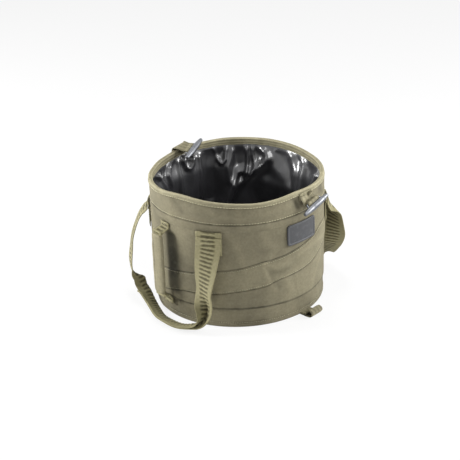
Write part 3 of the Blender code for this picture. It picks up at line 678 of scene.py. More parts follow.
def stitches(name, lines, pitch=STITCH_PITCH, width=0.55 * MM):
    """One piece of stitching along several (points, closed) lines."""
    return run_tree(bare_lines(name, lines), SEW, {
        "Pitch": pitch, "Stitch Length": pitch * 0.78, "Stitch Width": width,
        "Stitch Height": 0.7 * width, "Finish": nylon_thread})


print("the sewing tree:", len(SEW.nodes), "nodes, a stitch each", STITCH_PITCH / MM, "mm")

# %% [markdown]
# ## What goes with which body
# The wall is soft and can't slide in rings as the CAD model's panels do. It is drawn as one
# cloth that rides on the base.

# %% Bodies
PRESSED_FROM = 5.0 * MM


def dress(made, body, slot, *nodes, finish=None, keep=None, anchor=PRESSED_FROM):
    """Give a piece its finish, its body and the CAD nodes that it stands for; its slot is not used."""
    if finish:
        made.data.materials.clear()
        made.data.materials.append(finish)
    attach(made, body)
    if keep:
        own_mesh(made)
    if nodes:
        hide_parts(*nodes)
    print(f"{made.name}: {triangles(made)} triangles on {body}")
    return made


# Heights from the floor, and how much of the wall's height is left when it is pressed flat:
# its top, at the collar, comes down from 152 mm to 19 mm
BAND_TOP = 31.0 * MM
COLLAR_BOTTOM = 152.0 * MM
COLLAR_SEAM = 163.0 * MM
TRAVEL = 133.0 * MM
WALL_KEEP = (COLLAR_BOTTOM - TRAVEL - PRESSED_FROM) / (COLLAR_BOTTOM - PRESSED_FROM)
print("the share of the wall's height left when pressed flat:", round(WALL_KEEP, 3))

# %% [markdown]
# ## The rim's wave
# The rim hoop isn't level in use: it stands in a gentle wave. Its heights round the mouth were
# read off the photograph's outline, less the level rim.

# %% The rim's wave
# Pairs of degrees from the front and millimetres above the level rim
RIM_WAVE = (
    (-109, 0.0), (-93, 4.0), (-81, 5.0), (-71, 3.0), (-63, 1.6), (-53, 0.4), (-44, -0.8), (-35, -1.9),
    (-25, -1.5), (-15, 0.0), (-5, 2.2), (6, 0.4), (20, -2.0), (45, -3.0), (71, -3.0), (91, 0.0),
    (109, 1.5), (141, 1.3), (177, -0.5), (195, -3.0), (210, -3.5), (230, -2.0),
)


def periodic(angle, table, soft=6.0):
    """A value from a table of (degrees, value) that closes on itself, with softened corners."""
    fine = np.arange(-180.0, 180.0, 1.0)
    degrees = np.array([a for a, _ in table], float)
    values = np.array([v for _, v in table], float)
    order = np.argsort(degrees % 360)
    laid = np.interp(fine % 360, (degrees % 360)[order], values[order], period=360)
    kernel = np.exp(-(np.minimum(np.arange(360), 360 - np.arange(360)) / soft) ** 2)
    smooth = np.real(np.fft.ifft(np.fft.fft(laid) * np.fft.fft(kernel / kernel.sum())))
    return np.interp((np.asarray(angle) + 180) % 360 - 180, fine, smooth, period=360)


def rim_rise(angle):
    """How far the rim stands above its level height, in metres."""
    return periodic(angle, RIM_WAVE) * MM


print("rim wave, mm:", [round(float(rim_rise(a)) / MM, 1) for a in (-81, -35, 45, 141, 210)])

# %% [markdown]
# ## The wall
# Below the collar the drum is one cloth, and its shape is what light has to show: broad soft
# undulations, small crumples, a V of creases and a bright ridge right of the front where the
# cloth is slack, and puckers beside every seam. A dense grid of points is pushed in and out
# for all of these at once. The same height field is stored as *relief*, which paints light
# onto the ridges and shade into the dents and seams.

# %% The wall's surface
WALL_LOW, WALL_HIGH = 126.9 * MM, 129.4 * MM
COIL_HEIGHT_AT_FRONT = 94.0 * MM
COIL_RISE = 0.375 * MM
SLEEVE_HALF = 17.0 * MM
# The sleeve's seams show between these heights and these unwrapped angles
SEAMS_LOW, SEAMS_TOP, SEAMS_FIRST, SEAMS_LAST = 33.5 * MM, 149.5 * MM, -190, 112
# Corrections to the sleeve's straight edges, in (degrees, millimetres), from the photograph
SLEEVE_TOP_FIX = ((-120, 0), (-100, 1.5), (-79, -0.4), (-64, 2.2), (-48, 1.0), (-32, 2.5), (-18, 0.0),
                  (-3, 0.0), (13, 1.3), (21, 5.2), (40, 0.0))
SLEEVE_LOW_FIX = ((-110, 0), (-87, 4.6), (-67, 0.0), (-49, -0.6), (-29, -3.1), (-19, 0.0), (-3, -2.9),
                  (10, -3.7), (25, 3.0), (45, 0.0))
# Each crease is a line of (degrees, millimetres) places, its depth and its width in millimetres
CREASES = (
    (((-31.5, 99), (-28.4, 74), (-23, 52)), 0.45, 2.6), (((-28.5, 92), (-25, 74), (-20, 58)), -0.45, 4.0),
    (((-30.5, 99), (-22.5, 90.5), (-15.9, 93)), 0.35, 2.6), (((-25, 84), (-19, 80), (-13, 83)), -0.65, 4.5),
    (((-20.6, 71), (-7.7, 74), (3.6, 77), (19.7, 73)), 0.4, 2.6),
    (((-6.5, 73), (-5.5, 46)), 0.45, 1.8), (((-4.8, 100.6), (7.3, 105), (27, 103)), 0.9, 4.0),
    (((10, 46), (17, 64), (23, 75)), 0.5, 4.0), (((-15, 66), (-11, 50)), 0.6, 6.0),
    (((-51.6, 150), (-47.3, 126), (-44, 103)), 0.7, 6.0), (((-30, 140), (-24, 120), (-26, 106)), 0.5, 7.0),
    (((60, 130), (72, 112), (90, 108)), 0.6, 6.0), (((140, 60), (150, 90), (146, 120)), 0.6, 7.0),
    (((-160, 120), (-150, 90), (-158, 60)), 0.6, 7.0), (((100, 60), (118, 80), (132, 78)), -0.6, 5.0),
    (((-128, 118), (-118, 100), (-121, 70)), -0.5, 6.0), (((-88, 60), (-80, 75), (-70, 70)), -0.4, 5.0),
)


def coil_height(angle):
    """The height of the coil at an unwrapped angle."""
    return COIL_HEIGHT_AT_FRONT + COIL_RISE * angle


def sleeve_edges(angle):
    """The lower and upper edge of the coil's sleeve, held between the base band and the collar."""
    low = coil_height(angle) - SLEEVE_HALF + np.interp(angle, *zip(*SLEEVE_LOW_FIX)) * MM
    top = coil_height(angle) + SLEEVE_HALF + np.interp(angle, *zip(*SLEEVE_TOP_FIX)) * MM
    return np.clip(low, 31.6 * MM, 150.0 * MM), np.clip(top, 33.0 * MM, 151.0 * MM)


def wall_radius(height):
    """The wall's plain outer radius at a height."""
    return WALL_LOW + (WALL_HIGH - WALL_LOW) * np.clip((height - BAND_TOP) / (COLLAR_BOTTOM - BAND_TOP), 0, 1)


def wall_relief(angle, height):
    """How far the slack cloth stands in or out, in metres."""
    angle, height = np.broadcast_arrays((np.asarray(angle) + 180) % 360 - 180, height)
    place = around(angle, WALL_RADIUS, height)
    total = 0.42 * MM * ripples(place, 0.085, 3) + 0.14 * MM * ripples(place, 0.024, 5)
    for line, depth, width in CREASES:
        total = total + crease(angle, height, line, depth * MM, width * MM)
    return total


def puckers(angle, distance, seed):
    """Small gathers beside a seam, dying out a few millimetres from it."""
    place = around(angle, WALL_RADIUS, 0.0 * distance)
    return 0.22 * MM * ripples(place, 0.011, seed) * np.exp(-np.abs(distance) / (5.0 * MM))


def below(limit, radius, soft=0.5 * MM):
    """A radius bent softly so that it stays below a limit."""
    start = limit - soft
    return np.where(radius < start, radius, start + soft * np.tanh((radius - start) / soft))


# The sewn ends of the handles start 0.3 mm outside the wall's plain radius, so the cloth stays in
ROOM_UNDER_PATCHES = 130.05 * MM
# The cloth beside the grab handle, in deep shade in the photograph, is darkened to match it
SHADE_ANGLE, SHADE_HALF, SHADE_EDGE = -95, 5.5, 8 * MM
SHADE_LOW, SHADE_TOP = 36 * MM, 142 * MM
SHADE_DEPTH = 0.42


def handle_shade(angle, height):
    """How much the cloth is darkened beside the grab handle, nought elsewhere."""
    beside = np.exp(-((angle - SHADE_ANGLE) / SHADE_HALF) ** 4)
    upper = smooth_step(0, 1, (SHADE_TOP - height) / SHADE_EDGE)
    return SHADE_DEPTH * beside * smooth_step(0, 1, (height - SHADE_LOW) / SHADE_EDGE) * upper


def wall_surface(angle, height):
    """The outer radius of the wall's cloth, and its relief from 0 to 1."""
    lift = wall_relief(angle, height)
    distance_low = height - BAND_TOP
    lift = lift + puckers(angle, distance_low, 11) + puckers(angle, COLLAR_SEAM - height, 12)
    groove = np.zeros(lift.shape)
    for turn in (-360.0, 0.0):
        for edge in sleeve_edges(angle + turn):
            shown = (edge > SEAMS_LOW) & (edge < SEAMS_TOP)
            shown &= (angle + turn > SEAMS_FIRST) & (angle + turn < SEAMS_LAST)
            groove += np.where(shown, np.exp(-((height - edge) / (1.15 * MM)) ** 2), 0.0)
    fade = smooth_step(0.2, 1.0, (height - BAND_TOP) / (6 * MM)) * smooth_step(
        0.1, 1.0, (COLLAR_BOTTOM - height) / (8 * MM))
    radius = below(ROOM_UNDER_PATCHES, wall_radius(height) + lift * fade - 0.5 * MM * groove)
    # Relief: painted light on ridges, painted shade in dents and in the sleeve's seam grooves, and a painted
    # shadow under the hem at the base band
    hem = np.exp(-((height - BAND_TOP + 0.6 * MM) / (1.1 * MM)) ** 2)
    relief = 0.52 + np.clip(lift / (4.5 * MM), -0.16, 0.30) - 0.55 * groove - 0.45 * hem
    return radius, np.clip(relief - handle_shade(angle, height), 0, 1)


print("creases drawn in the wall:", len(CREASES))

# %% The wall's cloth
def ring_angles(count):
    """Even angles right round the drum."""
    return np.arange(count) * 360.0 / count - 180.0


def make_wall():
    """The cloth between the base band and the collar."""
    angle, height = np.meshgrid(ring_angles(320), np.linspace(29.5, 153.0, 84) * MM)
    radius, relief = wall_surface(angle, height)
    made = sheet("wall_cloth", around(angle, radius, height), wrap=True)
    mark(made, "relief", relief)
    thicken(made, 0.8 * MM)
    dress(made, "base", "coated_cloth", "wall_panel_lower", "wall_panel_middle", "wall_panel_upper",
          finish=coated_cloth, keep=WALL_KEEP)


make_wall()

# %% [markdown]
# ## The coil's sleeve
# The sprung coil runs in a band of cloth that is sewn to the wall along both edges and climbs
# once round it. On the wall it shows as a low cushion between two seams darkened with painted
# shade, and its cloth is painted a shade paler than the wall as painted light on the cushion. It
# is a sheet whose rows run between those seams, crowned in the middle and dimpled by its own stitching.

# %% The sleeve over the coil
SLEEVE_FIRST, SLEEVE_LAST = -189.0, 104.5
PATCH_ANGLES = {"left_handle_front_end": -65.0, "left_handle_rear_end": -137.0,
                "right_handle_rear_end": 115.0, "right_handle_front_end": 43.0}
PATCH_LOW, PATCH_TOP = 117.0 * MM, 152.0 * MM
PATCH_HALF_ANGLE = 9.6


def under_patch(angle, height):
    """One under the sewn ends of the carry handles, nought elsewhere."""
    found = 0.0
    for middle in PATCH_ANGLES.values():
        beside = (PATCH_HALF_ANGLE - np.abs((angle - middle + 180) % 360 - 180)) / 1.2
        above = (height - PATCH_LOW + 2 * MM) / (2 * MM)
        found = np.maximum(found, smooth_step(0, 1, beside) * smooth_step(0, 1, above))
    return found


def sleeve_point(angle, share):
    """The sleeve's radius, height and relief at an angle and a share of its width."""
    low, top = sleeve_edges(angle)
    height = low + (top - low) * share
    wall, _ = wall_surface(angle, height)
    crown = 0.95 * MM * (1 - np.abs(2 * share - 1) ** 3)
    place = around(angle, WALL_RADIUS, height)
    edge = np.minimum(share, 1 - share) * (top - low)
    pull = 0.16 * MM * ripples(place, 0.009, 21) * np.exp(-edge / (4 * MM))
    sewn = np.exp(-((edge - 1.8 * MM) / (0.9 * MM)) ** 2)
    lift = crown + pull - 0.22 * MM * sewn
    limit = 131.2 * MM - 1.1 * MM * under_patch(angle, height)
    broad = np.clip(wall_relief(angle, height) / (4.5 * MM), -0.16, 0.30)
    # Relief: the wall's painted light and shade, painted shade in the stitched dimples and beside the grab
    # handle, on a paler base as painted light on the cushion
    relief = 0.54 + broad + pull / (1.5 * MM) - 0.12 * sewn - handle_shade(angle, height)
    return below(limit, wall + 0.25 * MM + lift), height, np.clip(relief, 0, 1)


def make_sleeve():
    """The band of cloth over the coil, with its two rows of stitching."""
    angle, share = np.meshgrid(np.linspace(SLEEVE_FIRST, SLEEVE_LAST, 300), np.linspace(0, 1, 22))
    radius, height, relief = sleeve_point(angle, share)
    made = sheet("spiral_sleeve_cloth", around(angle, radius, height))
    mark(made, "relief", relief)
    thicken(made, 0.6 * MM)
    dress(made, "base", "coated_cloth", "spiral_sleeve", finish=lit_sleeve_cloth, keep=WALL_KEEP)
    lines = []
    for inset in (0.062, 0.938):
        run = np.arange(SLEEVE_FIRST, SLEEVE_LAST, 1.0)
        radius, height, _ = sleeve_point(run, np.full(run.shape, inset))
        clear = (height > 34 * MM) & (height < 149 * MM)
        lines.append((around(run, radius + 0.1 * MM, height)[clear], False))
    dress(stitches("sleeve_stitching", lines), "base", "coated_cloth", keep=WALL_KEEP)


make_sleeve()

# %% [markdown]
# ## The foot
# The foot is a disc of stiff cloth with a steel hoop in its edge and a band of cloth round it.
# The band is tucked under the wall's hem, which leaves the dark line at 31 mm: the step's own
# shadow, deepened by painted shade on both cloths. The hoop shows as a soft roll along the ground.
# Discs are sheets whose first row is drawn together to one point, so that the pole is closed. The
# photograph shows neither disc. The liner's is shown with less gloss than its wall, because a
# glossy one throws bright patches at an eye above it.

# %% The base band and the base panel
BAND_RADIUS = 125.7 * MM
BAND_SEAM = 7.5 * MM


def close_pole(made):
    """Join the points of a sheet that lie on each other."""
    edit(made.data, lambda work: bmesh.ops.remove_doubles(work, verts=work.verts, dist=0.002 * MM))
    made.data.shade_smooth()


def make_base_band():
    """The band round the foot, with the hoop's roll at the bottom."""
    angle, height = np.meshgrid(ring_angles(320), np.linspace(0.35, 31.3, 26) * MM)
    place = around(angle, WALL_RADIUS, height)
    lift = 0.25 * MM * ripples(place, 0.06, 31) + 0.10 * MM * ripples(place, 0.018, 32)
    lift += puckers(angle, BAND_TOP - height, 33)
    roll = 0.5 * MM * np.exp(-((height - 3.6 * MM) / (2.2 * MM)) ** 2)
    under = 1.6 * MM * np.clip(1 - height / (2.4 * MM), 0, 1) ** 2
    dip = 0.35 * MM * np.exp(-((height - BAND_SEAM) / (1.2 * MM)) ** 2)
    made = sheet("base_band_cloth", around(angle, BAND_RADIUS + lift + roll - under - dip, height), wrap=True)
    # Relief: painted shade under the wall's hem and along the seam, painted light on ridges and painted shade
    # in dents
    hem = np.exp(-((height - BAND_TOP) / (1.6 * MM)) ** 2)
    seam = np.exp(-((height - BAND_SEAM) / (1 * MM)) ** 2)
    mark(made, "relief", np.clip(0.48 + lift / (3.0 * MM) - 0.5 * (hem + 0.5 * seam), 0, 1))
    thicken(made, 0.8 * MM)
    dress(made, "base", "coated_cloth", "base_band", finish=coated_cloth)
    line = around(ring_angles(360), BAND_RADIUS + 0.15 * MM, BAND_SEAM)
    dress(stitches("base_stitching", [(line, True)]), "base", "coated_cloth")


def make_disc(name, node, slot, finish, radius, height, lift, thickness, seed):
    """A round cloth with shallow ripples, lying at a height."""
    angle, reach = np.meshgrid(ring_angles(96), np.concatenate([[0.0], np.linspace(0.06, 1, 26)]) * radius)
    place = around(angle, reach, 0.0)
    rise = lift * (0.5 + 0.5 * ripples(place, 0.045, seed)) * (1 - (reach / radius) ** 6)
    made = sheet(name, around(angle, reach, height + np.clip(rise, 0, lift)), wrap=True, inside=True)
    mark(made, "relief", np.clip(0.5 + 0.4 * ripples(place, 0.045, seed), 0, 1))
    close_pole(made)
    thicken(made, thickness)
    dress(made, "base", slot, node, finish=finish)


make_base_band()
make_disc("base_panel_cloth", "base_panel", "coated_cloth", coated_cloth,
          radius=124.4 * MM, height=1.2 * MM, lift=0.0, thickness=1.2 * MM, seed=41)
make_disc("liner_floor_film", "liner_floor", "liner", dull_film,
          radius=120.6 * MM, height=2.2 * MM, lift=0.6 * MM, thickness=0.5 * MM, seed=42)

# %% [markdown]
# ## The collar
# Above the seam at 163 mm a plain collar reaches up under the binding. It rides on the rim, so
# it keeps its height when the wall is pressed flat. Its top follows the rim's wave, and a dent
# under the binding beside the front strap shows where the strap pulls the cloth.

# %% The collar and its seam
RIM_HEIGHT = 196.0 * MM
COLLAR_RADIUS = 129.15 * MM
COLLAR_CREASES = (
    (((-9, 192), (-4, 173)), -1.2, 3.6), (((-70, 190), (-58, 176), (-44, 172)), 0.35, 5.0),
    (((-30, 178), (-12, 181)), 0.35, 4.0), (((-92, 190), (-84, 172)), -0.6, 5.0),
    (((20, 186), (30, 172)), -0.5, 5.0), (((80, 178), (100, 184)), 0.4, 5.0),
    (((150, 172), (165, 186)), -0.5, 5.0), (((-150, 176), (-130, 182)), 0.4, 5.0),
)


def rim_share(height):
    """How much of the rim's wave a height takes: none below the collar's seam, all at the top."""
    return smooth_step(0, 1, (height - COLLAR_BOTTOM) / (RIM_HEIGHT - COLLAR_BOTTOM - 8 * MM))


def rim_press(angle):
    """How far the rim is pressed inwards at the left, where the photograph shows it pinched."""
    return -1.6 * MM * np.exp(-((np.asarray(angle) + 87) / 11) ** 2)


def collar_surface(angle, height):
    """The collar's outer radius and its relief."""
    place = around(angle, WALL_RADIUS, height)
    lift = 0.3 * MM * ripples(place, 0.07, 51) + 0.12 * MM * ripples(place, 0.02, 52)
    for line, depth, width in COLLAR_CREASES:
        lift = lift + crease(angle, height, line, depth * MM, width * MM)
    lift = lift + puckers(angle, height - COLLAR_SEAM, 53) + 0.8 * puckers(angle, height - 184 * MM, 54)
    calm = smooth_step(0, 1, (height - COLLAR_BOTTOM) / (7 * MM))
    seam = np.exp(-((height - COLLAR_SEAM) / (0.8 * MM)) ** 2)
    turned = smooth_step(0, 0.35 * MM, (COLLAR_SEAM - height) / (1.2 * MM) + 0.5)
    radius = COLLAR_RADIUS + lift * calm - 0.45 * MM * seam + turned + rim_press(angle) * rim_share(height)
    # Relief: painted light on ridges, and painted shade in dents and in the seam's groove
    relief = np.clip(0.55 + np.clip(lift / (3.5 * MM), -0.3, 0.3) - 0.5 * seam, 0, 1)
    top = 128.7 * MM + rim_press(angle)
    share = smooth_step(0, 1, (height - 186.5 * MM) / (3.5 * MM))
    return np.minimum(below(ROOM_UNDER_PATCHES, radius), 131 * MM) * (1 - share) + top * share, relief


def make_collar():
    """The collar, and the row of stitching above its seam."""
    angle, height = np.meshgrid(ring_angles(320), np.linspace(151.6, 192.0, 38) * MM)
    radius, relief = collar_surface(angle, height)
    lifted = height + rim_rise(angle) * rim_share(height)
    made = sheet("collar_cloth", around(angle, radius, lifted), wrap=True)
    mark(made, "relief", relief)
    thicken(made, 0.8 * MM)
    dress(made, "rim", "coated_cloth", "collar", finish=coated_cloth)
    run, height = ring_angles(480), COLLAR_SEAM + 1.9 * MM
    radius, _ = collar_surface(run, height)
    line = around(run, radius + 0.1 * MM, height + rim_rise(run) * rim_share(height))
    dress(stitches("collar_stitching", [(line, True)], pitch=4.2 * MM, width=1.0 * MM), "rim", "coated_cloth")


make_collar()

# %% [markdown]
# ## The binding and the steel
# A tape is folded over the collar, the hoop and the liner, and sewn through. It is a closed
# section carried round the rim: a short outer leg, a rounded top over the hoop, and a deeper,
# ribbed inner leg. The hoop under it and the coil in the wall are wire, made by a tree that
# carries a circle along a line.

# %% The binding tape
BINDING_FOOT = 189.0 * MM
BINDING_INNER_FOOT = 186.0 * MM
BINDING_RIB = 4.4 * MM
BINDING_LENGTH = 0.817


def binding_section():
    """The binding's outline as (radius, height) points, from the foot of its outer leg."""
    outer, inner = 129.7 * MM, 123.7 * MM
    leg = np.linspace(BINDING_FOOT, 193.8 * MM, 7)
    out = [(outer + 0.25 * MM * math.sin(math.pi * k / 6), z) for k, z in enumerate(leg)]
    top = [(outer - 0.15 * MM, 194.8 * MM), (outer - 0.75 * MM, 195.7 * MM), (outer - 1.7 * MM, 196.2 * MM),
           (outer - 2.6 * MM, 196.0 * MM), (outer - 3.5 * MM, 195.5 * MM), (outer - 4.4 * MM, 195.3 * MM),
           (outer - 5.2 * MM, 195.2 * MM), (inner + 0.3 * MM, 194.9 * MM)]
    fall = np.linspace(194.2 * MM, BINDING_INNER_FOOT, 16)
    down = [(inner - 0.16 * MM * math.cos((z - BINDING_INNER_FOOT) * 2 * math.pi / BINDING_RIB), z)
            for z in fall]
    lining = [(inner + 0.8 * MM, BINDING_INNER_FOOT), (inner + 0.8 * MM, 194.3 * MM),
              (outer - 1.1 * MM, 194.6 * MM), (outer - 0.8 * MM, BINDING_FOOT)]
    return np.array(out + top + down + lining)


def make_binding():
    """The tape folded over the rim, and its row of stitching."""
    outline = binding_section()
    run = ring_angles(360)
    angle = run[:, None]
    place = around(run, WALL_RADIUS, 0.0)
    edge = np.clip((193 * MM - outline[:, 1]) / (5 * MM), 0, 1)[None, :]
    sway = ripples(place, 0.014, 61)[:, None]
    broad = ripples(place, 0.05, 62)[:, None]
    height = outline[None, :, 1] + rim_rise(angle) + 0.35 * MM * sway * edge + 0.25 * MM * broad
    radius = outline[None, :, 0] + rim_press(angle) + 0.2 * MM * broad - 0.12 * MM * sway * edge
    across = np.concatenate([lengths_along(outline), [0.0]])
    across[-1] = across[-2] + 1 * MM
    along = np.arange(361) / 360 * BINDING_LENGTH
    made = tube("binding_tape", around(angle, radius, height), across, along, closed=True)
    # The tone of each point of the outline: painted shadow at the foot, painted light on the top, and painted
    # light and shade on the ribs of the inner leg
    rib = np.full(len(outline), 0.5)
    rib[0] = 0.15
    rib[1:7] = 0.62
    rib[7:15] = 0.78
    rib[10:13] = 0.6
    rib[15:31] = 0.62 + 0.14 * np.cos((outline[15:31, 1] - BINDING_INNER_FOOT) * 2 * math.pi / BINDING_RIB)
    mark(made, "relief", np.clip(rib[None, :] + 0.07 * sway, 0, 1))
    dress(made, "rim", "webbing", "rim_binding", finish=plain_tape)
    line = around(run, 130.0 * MM + rim_press(run), 190.4 * MM + rim_rise(run))
    dress(stitches("binding_stitching", [(line, True)], pitch=4.2 * MM, width=1.2 * MM), "rim", "webbing")


make_binding()

# %% A tree that draws wire
def wire_tree():
    """A round wire along a line of edges."""
    tree, given, out = new_tree("wire", ("Radius",))
    line = add(tree, "GeometryNodeMeshToCurve", {"Mesh": given.outputs["Geometry"]})
    ring = add(tree, "GeometryNodeCurvePrimitiveCircle", {
        "Resolution": 12, "Radius": given.outputs["Radius"]}, mode="RADIUS")
    skin = add(tree, "GeometryNodeCurveToMesh", {
        "Curve": line.outputs[0], "Profile Curve": ring.outputs[0], "Fill Caps": True})
    return end_tree(tree, given, out, skin.outputs[0])


WIRE = wire_tree()


def wire(name, path, diameter, finish, closed=False):
    """Round wire along a path."""
    return run_tree(bare_lines(name, [(path, closed)]), WIRE, {"Radius": diameter / 2, "Finish": finish})


def liner_out(height):
    """The plain outer radius of the liner: straight, then flaring to the hoop at the mouth."""
    return smooth_step(121.0 * MM, 124.5 * MM, (height - 150 * MM) / (26 * MM))


# The share of the coil's height that is left when it is pressed flat
COIL_KEEP = 0.285


def make_steel():
    """The rim hoop, which follows the rim's wave, and the coil. The base hoop stays the CAD's."""
    run = ring_angles(180)
    path = around(run, 126.3 * MM + rim_press(run), 193.0 * MM + rim_rise(run))
    dress(wire("rim_hoop_wire", path, 3 * MM, zinc_steel, closed=True), "rim", "spring_steel", "rim_hoop")
    turn = np.arange(-235.5, 258.0, 3.0)
    height = coil_height(turn)
    coil = wire("coil_wire", around(turn, liner_out(height) + 1.5 * MM, height), 2.5 * MM, zinc_steel)
    dress(coil, "base", "spring_steel", "coil_spring", keep=COIL_KEEP)
    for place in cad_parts["base_hoop"].material_slots:
        place.material = zinc_steel


make_steel()

# %% [markdown]
# ## The liner
# The waterproof film is cut wider than the drum, gathered into the binding, and hangs in long
# glossy folds. A cloth simulation would put them where it likes, so none is run: the folds
# that the photograph shows are drawn as lines, and slow waves and short gathers under the
# binding fill in between. Each wave leans as it falls, so the highlights wander.

# %% The liner
LINER_LOW, LINER_HIGH = 2.6 * MM, 190.5 * MM
FREE_TOP = 185.5 * MM
FOLD_DEPTH, FOLD_LEAN = 9.0 * MM, 18.0
# Each slow wave is its count round the drum, its start in degrees and its share of the depth
FOLDS = ((7, 40.0, 0.22), (11, 200.0, 0.26), (17, 75.0, 0.16))
# What is left of the liner's height when it is pressed flat, and the height that it is pressed to
LINER_KEEP, LINER_FOOT = 0.294, 2.3 * MM
# Each drawn fold is a line of (degrees, millimetres) places, its depth and its width in millimetres
DRAWN_FOLDS = (
    (((168, 178), (168.5, 152), (170, 110), (172, 60)), 8.0, 15.0),
    (((162, 176), (162, 150), (163, 112)), 3.5, 3.2), (((180, 178), (181, 150), (182, 120)), 3.0, 2.8),
    (((150, 172), (153, 150), (155, 110)), -5.0, 9.0),
    (((174.5, 188), (175.5, 176), (174, 165)), 4.5, 3.0), (((167.5, 186), (169, 171), (172, 163)), 4.5, 3.0),
    (((186, 189), (190, 178), (193, 166), (191, 148)), 5.5, 4.5),
    (((214, 190), (205, 172), (201, 150)), 5.0, 5.0),
    (((160, 189), (154, 184), (148, 187)), 3.5, 2.6),
    (((150, 186), (147.5, 166), (145, 160), (142, 166), (140, 187)), 5.5, 2.8),
    (((126.5, 190), (125, 169), (125.5, 148), (127, 139)), 5.0, 3.0),
    (((121.5, 190), (121, 171), (119, 155), (122.5, 141)), 4.5, 3.0),
    (((114, 188), (109, 170), (112, 160), (124, 138), (136, 118), (143, 92)), 9.0, 8.0),
    (((126, 147), (132.5, 145), (136, 128), (140, 110), (150, 70)), 7.0, 6.0),
    (((90, 190), (89, 177), (84, 160), (83, 130)), 4.5, 8.5),
    (((79, 190), (75.5, 170), (75, 145), (80, 100)), 4.5, 8.0),
    (((106, 165), (101, 150), (92, 140), (86, 118)), 3.2, 10.0),
    (((136, 175), (140, 155), (139, 132)), 5.0, 6.0),
    (((131, 190), (134, 173), (132, 160)), -3.0, 4.0), (((110, 128), (99, 128), (90, 126)), 3.5, 12.0),
    (((232, 188), (240, 160), (236, 110), (250, 60)), 8.0, 9.0),
    (((268, 186), (262, 140), (275, 90)), 8.0, 10.0), (((300, 188), (308, 150), (300, 110)), 7.0, 7.0),
    (((330, 186), (322, 150), (335, 100), (330, 50)), 8.0, 9.0), (((12, 186), (4, 150), (15, 100)), 7.0, 8.0),
    (((48, 188), (56, 150), (46, 110), (55, 60)), 8.0, 9.0),
)
# The drawn folds run from this angle once round to it again
FOLDS_FROM = 55


def liner_folds(angle, height):
    """How far the liner's folds stand in from its plain radius."""
    share = np.clip((height - LINER_LOW) / (176 * MM - LINER_LOW), 0, 1)
    leaning = angle + FOLD_LEAN * (1 - share)
    waves = sum(part * np.cos(np.radians(count * leaning + start)) for count, start, part in FOLDS)
    hang = np.sin(math.pi * share) ** 0.7
    place = around(angle, WALL_RADIUS, height)
    free = smooth_step(0, 1, (FREE_TOP + 1 * MM - height) / (9 * MM)) * smooth_step(0, 1, height / (30 * MM))
    once = np.mod(angle - FOLDS_FROM, 360) + FOLDS_FROM
    drawn = sum(crease(once, height, line, depth * MM, width * MM)
                + crease(once - 360, height, line, depth * MM, width * MM)
                for line, depth, width in DRAWN_FOLDS)
    swung = angle + 2 * ripples(place, 0.03, 76)
    gathers = np.abs(ripples(around(swung, WALL_RADIUS, 0.1 * height), 0.026, 74))
    sectors = smooth_step(-0.3, 0.5, ripples(around(angle, WALL_RADIUS, 0 * height), 0.05, 77))
    drop = FREE_TOP - height
    below_rim = smooth_step(0, 1, drop / (6 * MM)) * np.exp(-(drop / (15 * MM)) ** 2)
    return (FOLD_DEPTH * hang * np.clip(0.45 + waves, 0, 1) + drawn * free
            + 2.2 * MM * np.clip(1 - 1.3 * gathers, 0, 1) * sectors * below_rim
            + 0.25 * MM * ripples(place, 0.03, 75) * hang)


def make_liner():
    """The loose film inside the drum."""
    angle, height = np.meshgrid(ring_angles(420), np.linspace(LINER_LOW, LINER_HIGH, 98))
    tucked = 0.9 * MM * smooth_step(0, 1, (height - 182.5 * MM) / (5 * MM))
    radius = liner_out(height) - 0.6 * MM + tucked - np.clip(liner_folds(angle, height), 0, 18 * MM)
    radius = radius + rim_press(angle) * rim_share(height)
    lifted = height + rim_rise(angle) * rim_share(height)
    made = sheet("liner_film_wall", around(angle, radius, lifted), wrap=True, inside=True)
    thicken(made, 0.4 * MM)
    dress(made, "base", "liner", "liner_wall", finish=liner_film, keep=LINER_KEEP, anchor=LINER_FOOT)


make_liner()

# %% [markdown]
# ## Ribbed webbing
# The carry handles are heavy webbing with thick ribs across the middle of its width and two
# plain selvages. The ribs are in the mesh: a Geometry Nodes tree reads how far each point is
# along and across the webbing, raises a smooth row of ribs along the surface normal, and
# stores the same rib profile as *relief*, which paints shade into the hollows between them and
# light onto their tops.

# %% A tree that raises ribs
RIB_PITCH = 6.3 * MM
RIB_HEIGHT = 0.42 * MM
RIB_REACH = 11.6 * MM
RIB_SHARPNESS = 1.5
# The plain selvages' tone, and the ribs' tone at their tops, which is painted light; their hollows get
# painted shade
PLAIN_TONE, RIB_TONE = 0.66, 0.82
# The ribs' arithmetic: each step's name, its operation, and its numbers or the names of others
RIB_STEPS = (
    ("sway", "SUBTRACT", "uneven", 0.5),
    ("shifted", "MULTIPLY_ADD", "sway", 2.6 * MM, "along"),
    ("ribs along", "DIVIDE", "shifted", "Pitch"),
    ("turn", "MULTIPLY", "ribs along", 2 * math.pi),
    ("wave", "SINE", "turn"),
    ("steep wave", "MULTIPLY", "wave", "Sharpness"),
    ("flat wave", "TANH", "steep wave"),
    ("rib", "MULTIPLY_ADD", "flat wave", 0.5, 0.5),
    ("off the middle", "ABSOLUTE", "across"),
    ("inside", "SUBTRACT", "Reach", "off the middle"),
    ("fade", "DIVIDE", "inside", 2.2 * MM),
    ("not below", "MAXIMUM", "fade", 0.0),
    ("mask", "MINIMUM", "not below", 1.0),
    ("masked", "MULTIPLY", "rib", "mask"),
    ("lift", "MULTIPLY", "masked", "Height"),
    ("rib tone", "MULTIPLY", "rib", RIB_TONE),
)


